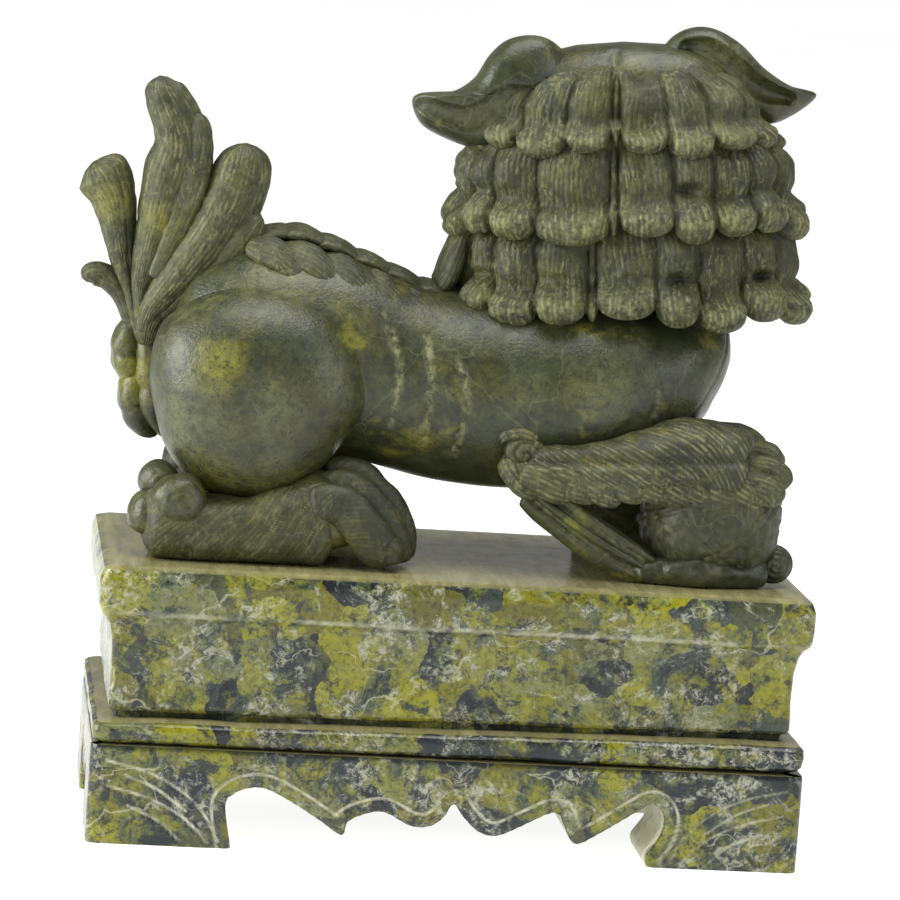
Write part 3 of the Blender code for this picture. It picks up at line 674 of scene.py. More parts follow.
# A ball that was roughed from a cube.
fullness = (np.abs(direction) ** 2.7).sum(-1, keepdims=True) ** (-1 / 2.7)
brocade.rings = BALL + direction * fullness * (15.3, 14.6, 14.9)
brocade.stand_on(FEET_REST)
lines = np.zeros(brocade.rings.shape[:2])
for number, axis in enumerate(((1, 0.25, 0.2), (-0.15, 0.3, 1), (0.7, 0.45, -0.75), (0.8, -0.3, 0.7),
                               (0.1, 1, 0.1))):
    level = direction @ unit(np.array(axis, float)) * 15.2
    wander = 0.5 * unevenness(brocade.rings, 6, 100 + number)
    for offset in (-0.95, 0.95):
        lines = np.maximum(lines, tent(level + wander, offset, 0.55))
petals = scored((direction @ unit(np.array((0.5, 0.3, 0.8)))) * 9,
                np.arctan2(direction[..., 2], direction[..., 0]) * 12, 104, 0.35)
brocade.cut(0.45 * lines + 0.16 * petals * (lines < 0.1), 0.5 * lines + 0.3 * petals)
# the -0.35 paints shade over the whole ball
brocade.cut(0.5 * unevenness(brocade.rings, 7, 105) + 0.4 * unevenness(brocade.rings, 2, 108), -0.35)
brocade.matte = 0.55
carve_piece("carved_ball", [brocade], ["brocade_ball"])

# %% [markdown]
# ## The head's own frame
#
# The head is turned a little and nods a little, so it's laid out in a frame of its own, with x along the
# plinth, y out of the face, and z up from the neck. One function takes a form from there to the carver's
# frame.

# %% The head's frame
NECK = np.array((36.5, 0, 118))
LEAN, TURN = math.radians(-4.5), math.radians(-7)
lean_matrix = np.array([[math.cos(LEAN), 0, math.sin(LEAN)], [0, 1, 0],
                        [-math.sin(LEAN), 0, math.cos(LEAN)]])
turn_matrix = np.array([[math.cos(TURN), -math.sin(TURN), 0], [math.sin(TURN), math.cos(TURN), 0],
                        [0, 0, 1]])
HEAD_TURN = turn_matrix @ lean_matrix


def on_head(forms):
    """Takes forms from the head's frame to the carver's frame."""
    for form in forms:
        form.rings = form.rings @ HEAD_TURN.T + NECK
    return forms


print("the head's up direction:", np.round(HEAD_TURN[:, 2], 3))

# %% [markdown]
# ## Mane
#
# The mane hangs in three tiers. A tier is a wall of locks, side by side round the head. Each lock falls
# almost straight and rolls outwards at its end into a soft scroll. The tool scored all of it from top to
# bottom and over the scroll, a drill left a pit beside some scrolls, and a deep parting runs down the back.
# Shade is painted dark into the pits, the seams between locks, the hollow over each scroll and the walls.
#
# A tier is one skin. Going round the head gives its columns, and going down the tier gives its profile: the
# wall, the hollow over the scroll, the scroll, and the way back underneath. A place's share of its own lock
# says how far the wall bulges, how deep the cut between two locks is, and how much the scroll rounds off.


# %% Tiers of locks
def tier_wall(half_x, half_y, reach):
    """Evenly spaced places round an oval head, with their outward directions and their distances."""
    angle = np.radians(np.linspace(-reach, reach, 1441))
    s, c = np.sin(angle), np.cos(angle)
    power = 2 / 2.5
    x, y = half_x * np.sign(s) * np.abs(s) ** power, -half_y * np.sign(c) * np.abs(c) ** power
    walked = walk(np.stack([x, y], 1))
    at = np.linspace(0, walked[-1], int(walked[-1] / (GROOVE_PITCH / 4.2)))
    x, y = np.interp(at, walked, x), np.interp(at, walked, y)
    out = np.stack([-np.gradient(y), np.gradient(x), 0 * x], 1) * (-1, -1, 1)
    return np.stack([x, y, 0 * x], 1), unit(out), at - walked[720]


def carved_tier(low, top, half_x, half_y, edges, scale, seed, pits=(), lifts=(), roll=3.5, reach=138):
    """One tier: edges are the locks' borders on the near side, and scale narrows the wall with height."""
    wall, out, at = tier_wall(half_x, half_y, reach)
    near = np.abs(at) < half_x
    order = np.argsort(wall[near][:, 0])

    def place_of(x):
        """How far round the wall a place on the near side is."""
        return np.interp(x, wall[near][order][:, 0], at[near][order])

    borders = list(place_of(edges))
    for end in (at[0], at[-1]):
        start = borders[0] if end < 0 else borders[-1]
        count = max(round(abs(end - start) / 10.5), 1)
        extra = list(np.linspace(start, end, count + 1)[1:])
        borders = extra[::-1] + borders if end < 0 else borders + extra
    borders = np.array(borders)
    first = int(np.searchsorted(borders, place_of(edges[0]) - 0.01))
    index = np.clip(np.searchsorted(borders, at) - 1, 0, len(borders) - 2)
    width = (borders[1:] - borders[:-1])[index]
    share = (at - borders[index]) / width * 2 - 1
    parting = np.where(width < 4, 1.0, 0.0)
    lift = np.array([lifts[k - first] if 0 <= k - first < len(lifts) else 0.6 * math.sin(2.3 * k + seed)
                     for k in range(len(borders) - 1)])[index]
    plump = 1 + 0.5 * np.sin(1.9 * index + seed)
    round_off = np.abs(share) ** 2.6
    radius = roll * (1 + 0.15 * np.sin(2.7 * index + seed)) * (1 - 0.3 * round_off) * (1 - 0.3 * parting)
    bottom = low - 0.5 + 1.6 * lift + 2.4 * round_off
    height = bottom + radius
    bulge = 1.3 * plump * (1 - share ** 2) - 1.8 * parting
    zero = 0 * at
    path = [(-3.6 + zero, top + 1.5 + zero), (-2.8 + bulge * 0.5, top - 1 + zero),
            (-2.4 + bulge, top - (top - height) * 0.3), (-2.4 + bulge * 0.9, top - (top - height) * 0.52),
            (-2.9 + bulge * 0.6, height + radius + 1.4), (-1 + bulge * 0.7, height + radius * 0.85),
            (1 + bulge * 0.8, height + radius * 0.3), (1.2 + bulge * 0.8, height - radius * 0.35),
            (-0.6 + bulge * 0.6, height - radius * 0.95), (-2.8 + zero, height - radius * 0.9),
            (-5.5 + zero, height - radius * 0.2)]
    knots = np.array([np.stack(pair, 1) for pair in path])
    outer = np.concatenate(smooth_spans(with_ends(knots), np.linspace(0, 1, 6)[:-1, None, None]))
    skin = len(outer)
    inner = np.stack([np.stack([zero - 9, height + 2], 1), np.stack([zero - 9, top - 2 + zero], 1),
                      np.stack([zero - 7, top + 1.5 + zero], 1)])
    loop = np.concatenate([outer, inner])
    heights, shares = zip(*scale)
    narrow = np.interp(loop[..., 1], heights, shares)
    rings = wall[None] * narrow[..., None] + out[None] * loop[..., :1] + loop[..., 1:] * Z_AXIS
    steps_down = np.linalg.norm(np.diff(rings, axis=0), axis=2).mean(1)
    down = np.concatenate([[0], np.cumsum(steps_down)])[:, None] + 0 * at
    marks = scored(at / GROOVE_PITCH + 0.35 * np.sin(down / 3 + at / 5), down, seed, 0.7)
    nicks = scored(at / 1.7 - down / 1.5, down, seed + 9, 0.1)
    marks = np.maximum(marks, 0.8 * nicks)
    to_border = (1 - np.abs(share)) * width / 2
    seam = bell(to_border, 0, 0.75)[None] * np.clip((down - 1) / 3, 0, 1)
    rolled = tent(loop[..., 1], height, roll + 1.5)
    lumps = 0.95 * unevenness(rings, 5.5, seed) + 0.4 * unevenness(rings, 2, seed + 1)
    depth = 0.36 * marks + seam * (0.6 + 0.9 * rolled) + lumps
    # painted shade in the seams between locks and in the hollow over each scroll
    painted_shade = np.maximum(seam * 0.7, 0.5 * bell(loop[..., 1], height + radius + 1, 1.5))
    painted_shade = painted_shade * np.clip(0.8 + unevenness(rings, 6, seed + 3), 0, 1)
    for x, z in pits:
        away = np.hypot((at - place_of(x)) * 0.62,
                        (loop[..., 1] - z) * 1.25 + 0.3 * unevenness(rings, 2, seed + 7))
        depth = depth + 2.8 * np.clip(1 - away / 2.3, 0, 1) ** 0.8
        marks = marks * np.clip(away / 2.3 - 0.4, 0, 1)
        # painted shade in the drill pits
        painted_shade = np.maximum(painted_shade, np.clip(1.2 - away / 2.2, 0, 1))
    on_skin = (np.arange(len(loop)) < skin)[:, None]
    rings = rings - out * (depth * on_skin)[..., None]
    form = Form(rings.transpose(1, 0, 2))
    form.matte = 1.0
    wall_shade = 0.3 + 0.35 * unevenness(rings, 8, seed + 4)
    form.dust_and_shading = np.clip(marks + 0.35 * rolled - np.maximum(painted_shade, wall_shade * (1 - rolled)), -1,
                        1).T * on_skin.T
    return form


def core(levels, inset):
    """The plain drum behind a tier's locks."""
    return sweep([(0, 0, z, half_x - inset, half_y - inset) for z, half_x, half_y in levels], X_AXIS, 1.2,
                 110, 2.5, (2, 2))


LOWER_EDGES = (-36.6, -30.5, -20.4, -9, -6.2, 7, 16.5, 27, 35.8)
lower = carved_tier(-0.6, 20.5, 39.5, 20.9, LOWER_EDGES, ((12, 1), (17, 1.0), (20.6, 0.95)), 200,
                    ((12.2, 9.4), (32, 9.2)), (0.9, 0, 0.6, 1, 1.2, 0, -0.8, 0.4), 4)
lower_core = core([(2, 33, 16), (6, 36, 18.6), (10, 37, 19), (15, 36.6, 19), (20, 33, 17)], 3.4)
carve_piece("mane_lower_locks", on_head([lower_core, lower]), ["mane_lower"])
MIDDLE_EDGES = (-36.6, -30.6, -20.2, -4, -1.4, 11, 20, 29, 36.4)
middle = carved_tier(18.4, 39.6, 38.8, 21.2, MIDDLE_EDGES, ((30, 1), (35, 0.99), (39.6, 0.93)), 250,
                     ((14, 29.4),), (0.9, 0.3, -0.4, 1, 0.8, -0.3, 0.6, 0.9), 4)
middle_core = core([(19, 33, 17), (24, 36, 19), (30, 35, 18.6), (38, 31, 17)], 3.4)
carve_piece("mane_middle_locks", on_head([middle_core, middle]), ["mane_middle"])

# %% Crown
CROWN_EDGES = (-32, -24.4, -13.4, -3.4, -1, 9.8, 19.6, 29)
crown = carved_tier(37.2, 57, 33.4, 19.4, CROWN_EDGES,
                    ((44, 1), (48, 0.97), (52.5, 0.86), (56, 0.68), (59, 0.5)), 300, ((4, 53),),
                    (0.8, -0.2, 0.5, 1.5, 0.4, -0.6, 0.7), 2.9, 132)
dome = sweep([(0, 0, 38, 27, 13), (0, 0, 46, 27, 14), (0, 0, 51, 25.5, 13.4), (0, 0, 55.4, 22.6, 11.8),
              (0, 0, 58.6, 17.4, 9.2), (0, 0, 60.4, 11, 6.4), (0, 0, 61.2, 5, 3)], X_AXIS, 0.7, 140, 2.2,
             (2, 0.8))
parting = bell(dome.x, -2.2, 1.2) * (dome.y < -2) * (dome.z < 59.6)
dome.cut(0.8 * parting, 0.2 * parting)
carve_piece("crown", on_head([dome, crown]), ["mane_crown"])

# %% [markdown]
# ## Ears
#
# Each ear is a leaf laid flat across the head, with a raised rim and a polished hollow. The near ear on the
# left is a wide comma, and the right one is a long leaf with a pointed tip. A pebble makes the leaf, and
# the hollow is cut by how far each point is from the leaf's own valley line.


# %% Ears
def valley_cut(form, line, half_width, depth):
    """Cuts a soft valley along an (x, z) line."""
    flat = smooth_path([(x, 0, z, w, 0) for x, z, w in line], 60)[0]
    away = np.full(form.rings.shape[:2], 1e3)
    for x, _, z, wide, _ in flat:
        away = np.minimum(away, np.hypot(form.x - x, form.z - z) / (wide * half_width))
    mark = np.clip(1 - away ** 2, 0, 1)
    facing = np.clip(-form.outward()[..., 1] * 3, 0, 1)
    form.rings = form.rings + np.array((0, 1, 0)) * (depth * mark * facing)[..., None]
    form.dust_and_shading = np.clip(form.dust_and_shading + 0.1 * mark * facing * (mark > 0.6), 0, 1)


LEFT_EAR = [(-14.9, 162.6), (-13.6, 164.6), (-9.9, 165), (-5.5, 165.8), (-1.3, 169), (1.7, 174.2),
            (5.4, 177.8), (10.4, 179.2), (15, 178.4), (19, 175), (19.6, 170.6), (15.5, 165.6), (9.8, 160.6),
            (5.8, 156.2), (2.1, 153.6), (-1.9, 153.6), (-8.2, 155.6), (-12.8, 158.2)]
ear = pebble(LEFT_EAR, -2, 6.6, 6.6, step=0.6, rim=2.8)
valley_cut(ear, ((-12.6, 162.6, 1.2), (-7, 160.8, 1.6), (-2.4, 160.2, 1.9), (1.9, 162.2, 2.1),
                 (5.6, 165.2, 2), (10.6, 166.4, 1.2)), 1.7, 1.5)
carve_piece("left_ear_leaf", [ear], ["left_ear"])
RIGHT_EAR = [(40.5, 176.5), (42, 180.6), (46.4, 183.2), (51.6, 183.3), (57.7, 180.4), (63.4, 175.4),
             (69.7, 171.8), (75.4, 170.6), (75, 168.6), (70.5, 165), (65.9, 163), (60.1, 164), (53.6, 168),
             (46.6, 171.6)]
ear = pebble(RIGHT_EAR, -2, 6.2, 6.2, step=0.6, rim=2.8)
valley_cut(ear, ((45.6, 178.6, 1.4), (50, 178, 2), (56.4, 174.2, 2), (62.6, 170.6, 1.7),
                 (68.6, 169.2, 1.1)), 1.7, 3)
carve_piece("right_ear_leaf", [ear], ["right_ear"])

# %% [markdown]
# ## Face
#
# A guardian lion has a broad face with bulging eyes, curled brows, a flat nose and an open mouth with a
# ball of a tongue. This is a plain traditional face. Everything is in the head's frame, where y comes out
# of the face.


# %% Skull, brows and eyes
def both_sides(build):
    return build(-1) + build(1)


def brow_and_eye(s):
    forms = [ball((s * 9.4, 24.6, 42), (5.2, 4.8, 4.6), 0.35),
             ball((s * 9.6, 28.2, 41.6), (1.9, 1.6, 1.9), 0.25)]
    forms.append(sweep([(s * 3.6, 26, 40, 1, 1), (s * 6.4, 28.6, 45, 1.2, 1.2),
                        (s * 11, 28, 46.4, 1.3, 1.3), (s * 15, 23.6, 43, 1, 1)], Z_AXIS, 0.4, 28))
    forms.append(sweep([(s * 3.8, 26.4, 39, 0.9, 0.9), (s * 8, 28.2, 37, 1, 1),
                        (s * 13.6, 25, 38.2, 0.9, 0.9)], Z_AXIS, 0.4, 28))
    forms.append(hair([(s * 2, 27.4, 44.6, 1.8, 1.6), (s * 5, 28.6, 49, 2.8, 2.2),
                       (s * 11, 26.2, 51.6, 3.2, 2.4), (s * 17, 22, 50.4, 2.8, 2.2),
                       (s * 19.6, 20, 47, 2.2, 2), (s * 17.4, 21.8, 45.6, 1.4, 1.4)], Z_AXIS, 350 + s, 0.4))
    forms.append(ball((s * 10, 21, 47), (8.6, 6.2, 5), 0.5))
    forms.append(hair([(s * 15, 22, 38, 2, 2), (s * 20, 19.6, 36, 3.4, 2.6), (s * 23.6, 17, 30, 3.4, 2.6),
                       (s * 21.6, 19, 25.4, 2.6, 2.2), (s * 18.6, 21.6, 27, 1.6, 1.6)], Y_AXIS, 354 + s,
                      0.4))
    return forms


SKULL = [(0, 0, 35, 25, 19), (0, 8, 37, 26, 19.5), (0, 16, 38.5, 24.4, 17.4), (0, 22, 39.6, 20, 14),
         (0, 26.6, 40.6, 14, 10)]
skull = sweep(SKULL, X_AXIS, 0.5, 150, 2.2, (3, 4))
furrow = bell(np.abs(skull.x), 3.4, 0.8) * (skull.z > 44)
skull.cut(0.7 * furrow, 0.3 * furrow)
carve_piece("skull", on_head([skull] + both_sides(brow_and_eye)), ["head"])


# %% Muzzle and teeth
def whisker_pad(s):
    pad = ball((s * 8, 29.4, 28.4), (8.6, 7, 6.4), 0.4)
    dots = np.clip(unevenness(pad.rings, 1.9, 360) - 0.45, 0, 1)
    forms = [pad.cut(0.9 * dots, dots), ball((s * 3.4, 35.6, 31.6), (2.7, 2.6, 2.2), 0.3)]
    forms.append(sweep([(s * 11, 27, 23, 1.9, 1.9), (s * 10.8, 28.6, 19, 1.4, 1.4),
                        (s * 10.4, 29.4, 16, 0.6, 0.6)], X_AXIS, 0.3, 28, 2, (0.5, 1)))
    forms += [ball((s * x, 30.6 - 0.16 * x, 21.6), (1.7, 1.3, 2), 0.3) for x in (1.7, 4.9, 8)]
    return forms


muzzle = sweep([(0, 10, 29, 19, 9), (0, 18, 28.5, 18.6, 9), (0, 25, 28.4, 16.6, 8), (0, 30, 29, 13.4, 6.2)],
               X_AXIS, 0.5, 120, 2.3, (3, 3))
nose = sweep([(0, 24, 39, 3.4, 2.6), (0, 29, 37, 4, 3), (0, 34, 34.4, 5.2, 3.2)], X_AXIS, 0.4, 60, 2.2,
             (2, 2.4))
carve_piece("muzzle_and_nose", on_head([muzzle, nose] + both_sides(whisker_pad)), ["muzzle"])


# %% Jaw, tongue and beard
def lower_teeth(s):
    return [ball((s * x, 27.6 - 0.18 * x, 17.4), (1.6, 1.2, 1.8), 0.3) for x in (1.7, 4.8, 7.8)]


jaw = sweep([(0, 3, 12.5, 17, 6), (0, 12, 12, 17, 5.6), (0, 20, 12, 15, 4.8), (0, 26, 12.4, 12, 4),
             (0, 30, 13.2, 8.6, 3)], X_AXIS, 0.5, 110, 2.3, (3, 2.6))
cheeks = [hair([(s * 16, 16, 22, 3, 3), (s * 19.4, 16, 16, 4, 3.6), (s * 18.6, 18, 9, 3.8, 3.4),
                (s * 14.4, 20, 4, 3, 2.8), (s * 12.6, 22, 2.4, 1.6, 1.6)], Y_AXIS, 364 + s,
               0.45) for s in (-1, 1)]
throat = sweep([(0, 10, 14, 17, 10), (0, 9, 4, 18, 11), (0, 7, -6, 17, 11)], X_AXIS, 0.8, 90, 2.2, (2, 4))
palate = sweep([(0, 8, 19, 15, 5), (0, 16, 19, 14, 5), (0, 23, 19.4, 11, 3.6)], X_AXIS, 0.8, 70, 2.2,
               (2, 2))
# painted shade inside the open mouth
palate.dust_and_shading -= 0.7
tongue = sweep([(0, 8, 18, 6, 2), (0, 16, 18.6, 7, 2.6), (0, 23, 19.2, 5.6, 2.2)], X_AXIS, 0.4, 60, 2,
               (1, 3))
carve_piece("jaw", on_head([jaw, palate, tongue, throat] + cheeks + both_sides(lower_teeth)), ["lower_jaw"])
beard = [hair([(s * 3.6, 22, 9, 2.6, 3), (s * 4, 23.4, 3, 2.8, 3), (s * 3.6, 22.4, -3, 2.6, 2.8),
               (s * 2.8, 20.4, -8, 2, 2.2), (s * 2.6, 22.6, -9.6, 1.2, 1.4)], X_AXIS, 370 + k, 0.4) for k,
         s in enumerate((-2.6, -1, 1, 2.6))]
carve_piece("beard_tufts", on_head(beard), ["beard"])

# %% [markdown]
# ## Plinth
#
# The plinth's mouldings are cut round one block: a slab with soft edges, a hollow waist, a bead between two
# saw cuts, and an apron. The upper part is a pile of rounded rectangles that follows the moulding's
# profile. The grooves were sawn by hand, so the upper one climbs a little from left to right.

# %% Upper plinth
CORNER = 2.4
UPPER_CUT, LOWER_CUT = 28.6, 21.9  # the heights of the two saw cuts
COLUMNS = 540
# The moulding's profile, from the apron up: height, and how far in from the widest outline.
PROFILE = [(22, 6), (22, 2.6), (22.6, 1.2), (23.4, 0.4), (25.4, 0), (26.8, 0.2), (27.5, 1), (27.8, 3),
           (28.1, 5.2), (29.2, 5), (29.7, 3.8), (30.6, 3.3), (38, 3.5), (44, 3.3), (47.6, 2.7), (49.6, 1.6),
           (50.6, 0.7), (51.6, 0.2), (54, -0.05), (58, -0.05), (59.7, 0.3), (60.5, 0.9), (60.9, 2), (61, 4),
           (61, 10), (61, 20), (61, 34)]


def rounded_rectangle(inset, count):
    """Points round the plinth at an inset from its sides, with softly rounded corners."""
    a, b = HALF_LENGTH - inset, HALF_DEPTH - inset
    r = max(min(CORNER, a, b) - 0.2 * inset, 0.6)
    corners = ((a - r, b - r, 0), (r - a, b - r, 90), (r - a, r - b, 180), (a - r, r - b, 270))
    outline = [(x + r * math.cos(math.radians(start + turn)), y + r * math.sin(math.radians(start + turn)))
               for x, y, start in corners for turn in range(0, 91, 10)]
    loop = np.array(outline + outline[:1])
    walked = walk(loop)
    return places_at(loop, walked, np.linspace(0, walked[-1], count, endpoint=False))


profile = np.array(PROFILE)
walked = walk(profile)
at = np.unique(np.concatenate([np.arange(0, 47, 0.5), np.arange(47, walked[-1], 2), walked[-1:]]))
rings = np.array([np.column_stack([rounded_rectangle(inset, COLUMNS), np.full(COLUMNS, z)])
                  for z, inset in places_at(profile, walked, at)])
tilt = bell(rings[..., 2], UPPER_CUT, 5) * rings[..., 0] / HALF_LENGTH * 0.9
rings[..., 2] += tilt + 0.16 * unevenness(rings, 13, 400) * (rings[..., 2] < 57)
upper = Form(rings)
side_face = np.clip((60.4 - upper.z) / 1.5, 0, 1)
upper.cut((0.2 * unevenness(rings, 9, 401) + 0.08 * unevenness(rings, 2.2, 402)) * side_face)
chips = np.clip(unevenness(rings, 4, 403) - 0.45, 0, 1) * bell(rings[..., 2], 50.6, 1.4)
# the edge mask paints a highlight along the slab's lower edge; the chips get pale powder
edge = bell(rings[..., 2], 50.8, 0.5) * np.clip(0.6 + unevenness(rings, 8, 405), 0, 1)
upper.cut(1.3 * chips, 0.9 * chips + 0.7 * edge)
# painted shade in the two saw cuts
saw_cut = bell(rings[..., 2] - tilt, UPPER_CUT, 1.1) + bell(rings[..., 2], LOWER_CUT, 0.9)
upper.dust_and_shading = np.clip(upper.dust_and_shading - 1.2 * saw_cut * np.clip(0.8 + unevenness(rings, 6, 404), 0, 1), -1, 1)
carve_piece("plinth_mouldings", [upper], ["plinth_slab", "plinth_waist", "plinth_bead"], "plinth_stone")

# %% [markdown]
# ## Apron
#
# The apron is a wall round the plinth. Its lower edge is sawn out in scallops, so that four feet are left,
# and a line is scored along each scallop. The wall is laid out by the length of its lower edge, and every
# place there is joined to the place above it, under the bead. Beside the feet the joining lines lean
# outwards, so that none of them crosses the arch.

# %% Scalloped apron
LONG_SCALLOP = [(-47, 0), (-48.7, 9.4), (-47.2, 12), (-44.5, 13.4), (-40.4, 13.7), (-34.8, 11.2),
                (-28, 7.2), (-22.8, 4), (-21.8, 7), (-18.1, 9), (-13.8, 9.6), (-8.1, 6.9), (-3.7, 6.9),
                (-0.6, 9.2), (1.2, 12.2), (3.6, 9.4), (7.2, 6.2), (11.9, 5.6), (19.4, 9.4), (22.6, 11),
                (24.8, 10.9), (26.2, 8), (28.8, 4.4), (34, 7), (42.5, 12.6), (45.4, 14), (47.4, 12.8),
                (48.2, 10), (47.2, 6.4), (44.6, 2.4), (45, 0)]
SHORT_HALF = [(-13.6, 0), (-14.4, 8), (-13.4, 11.2), (-11, 12.2), (-8.2, 10.6), (-5.4, 7.6), (-2.4, 8.2)]
SHORT_SCALLOP = SHORT_HALF + [(0, 10.8)] + [(-x, z) for x, z in reversed(SHORT_HALF)]
LEAVES = [[(-75, 18.4), (-66, 16.2), (-58, 12), (-53, 7), (-50, 1.5)],
          [(-74.5, 12.8), (-66, 10.6), (-58, 6.6), (-52, 1)], [(-71, 15.4), (-64, 12.6), (-57.4, 8)],
          [(-70, 8.6), (-63, 5.4), (-58.6, 1.6)]]
APRON_TOP = 21.8
WALL = (20, 23)  # how thick the end walls and the long walls are


def smooth_curve(points, count=160):
    """A smooth curve through (x, z) points."""
    return smooth_path([(x, 0, z, 0, 0) for x, z in points], count)[0][:, [0, 2]]


def distance_to(curve, x, z):
    """How far each place is from the curve's nearest point."""
    return np.min(np.hypot(x[..., None] - curve[:, 0], z[..., None] - curve[:, 1]), -1)


def edge_of(scallop, half, count):
    """Evenly spaced lower edge points of one side, and where each is joined at the top."""
    fine = np.vstack([[(-half, 0)], smooth_curve(scallop), [(half, 0)]])
    walked = walk(fine)
    at = np.linspace(0, walked[-1], count, endpoint=False)
    low = places_at(fine, walked, at)
    arch = (at >= walked[1]) & (at <= walked[-2])
    side = arch & (np.abs(low[:, 0]) > abs(scallop[0][0]) - 3)
    lean = low[:, 0] + np.sign(low[:, 0]) * 1.3 * np.maximum(max(z for x, z in scallop) - low[:, 1], 0)
    top = np.interp(at, np.concatenate([[0], at[side], walked[-1:]]),
                    np.concatenate([[-half], lean[side], [half]]))
    return low, top


SIDES = [(X_AXIS, -Y_AXIS, HALF_LENGTH, HALF_DEPTH, LONG_SCALLOP, 330, WALL[1]),
         (Y_AXIS, X_AXIS, HALF_DEPTH, HALF_LENGTH, SHORT_SCALLOP, 130, WALL[0]),
         (-X_AXIS, Y_AXIS, HALF_LENGTH, HALF_DEPTH, [(-x, z) for x, z in reversed(LONG_SCALLOP)], 330,
          WALL[1]), (-Y_AXIS, -X_AXIS, HALF_DEPTH, HALF_LENGTH, SHORT_SCALLOP, 130, WALL[0])]
FACE_ROWS = 56
columns, marks = [], []
for run, out, half, reach, scallop, count, wall in SIDES:
    low, top = edge_of(scallop, half, count)
    share = np.linspace(0, 1, FACE_ROWS)[:, None]
    along = low[:, 0] * (1 - share) + top * share
    height = low[:, 1] * (1 - share) + APRON_TOP * share
    # the vertical corners are rounded like the rest of the plinth
    past = np.clip(np.abs(along) - (half - CORNER), 0, CORNER)
    drop = CORNER - np.sqrt(np.maximum(CORNER ** 2 - past ** 2 * 0.98, 0))
    away = distance_to(smooth_curve(scallop), along, height)
    border = tent(away, 3.1, 0.38, 1.1)
    soft = tent(away, 0, 1.6)
    leaf = np.zeros_like(away)
    for leaf_line in LEAVES if half > 50 else ():
        curve = smooth_curve(leaf_line, 60) * (-out[1], 1)
        for mirror in (1, -1):
            line = tent(distance_to(curve, along * mirror, height), 0, 0.36, 1.1)
            leaf = np.maximum(leaf, line * (1 if mirror * out[1] < 0 else 0.45))
    depth = drop + 0.4 * border + 0.9 * soft ** 2 + 0.3 * leaf + 0.25 * bell(height, APRON_TOP, 0.5)
    outer = along[..., None] * run + (reach - depth)[..., None] * out + height[..., None] * Z_AXIS
    inside = half - (WALL[0] if half > 50 else WALL[1])
    inner_low = np.clip(low[:, 0], -inside, inside)[:, None] * run + (reach - wall) * out + low[:, 1][:,
            None] * Z_AXIS
    inner_top = np.clip(top, -inside, inside)[:, None] * run + (reach - wall) * out + APRON_TOP * Z_AXIS
    middle_top = (outer[-1] + inner_top) / 2
    inner = np.stack([middle_top, inner_top, (inner_top + inner_low) / 2, inner_low,
                      inner_low * 0.5 + outer[0] * 0.5, inner_low * 0.12 + outer[0] * 0.88])
    columns.append(np.concatenate([outer, inner]))
    # painted shade along the joint under the bead
    seam = bell(height, APRON_TOP, 0.7)
    # painted light on the inner walls and underside of the arches
    inner_wall_light = np.repeat([0, 0, 0.6, 1.8, 1.8, 1.8], len(low)).reshape(6, -1)
    marks.append(np.concatenate([1.4 * border + 1.3 * leaf - seam, inner_wall_light]))
rings = np.concatenate(columns, 1).transpose(1, 0, 2)
rings = np.concatenate([rings, rings[:1]])
apron = Form(rings)
dust_and_shading = np.concatenate(marks, 1).T
apron.dust_and_shading = np.concatenate([dust_and_shading, dust_and_shading[:1]]) * np.clip(1 + 0.8 * unevenness(rings, 5, 410), 0.3, 1)
rough = 0.22 * unevenness(rings, 7, 411) + 0.1 * unevenness(rings, 2.2, 412)
on_face = (np.abs(rings[..., 0]) > HALF_LENGTH - 5) | (np.abs(rings[..., 1]) > HALF_DEPTH - 5)
apron.rings = rings - unit(rings * (0, 1, 0) + 1e-6) * (np.clip(rough, -0.05, 1) * on_face)[..., None]
ceiling = sweep([(-HALF_LENGTH + WALL[0] - 1, 0, 18.5, HALF_DEPTH - WALL[1] + 1, 3.2),
                 (HALF_LENGTH - WALL[0] + 1, 0, 18.5, HALF_DEPTH - WALL[1] + 1, 3.2)], Y_AXIS, 4, 40, 12,
                (0.1, 0.1))
carve_piece("plinth_feet", [apron, ceiling], ["plinth_apron"], "plinth_stone")
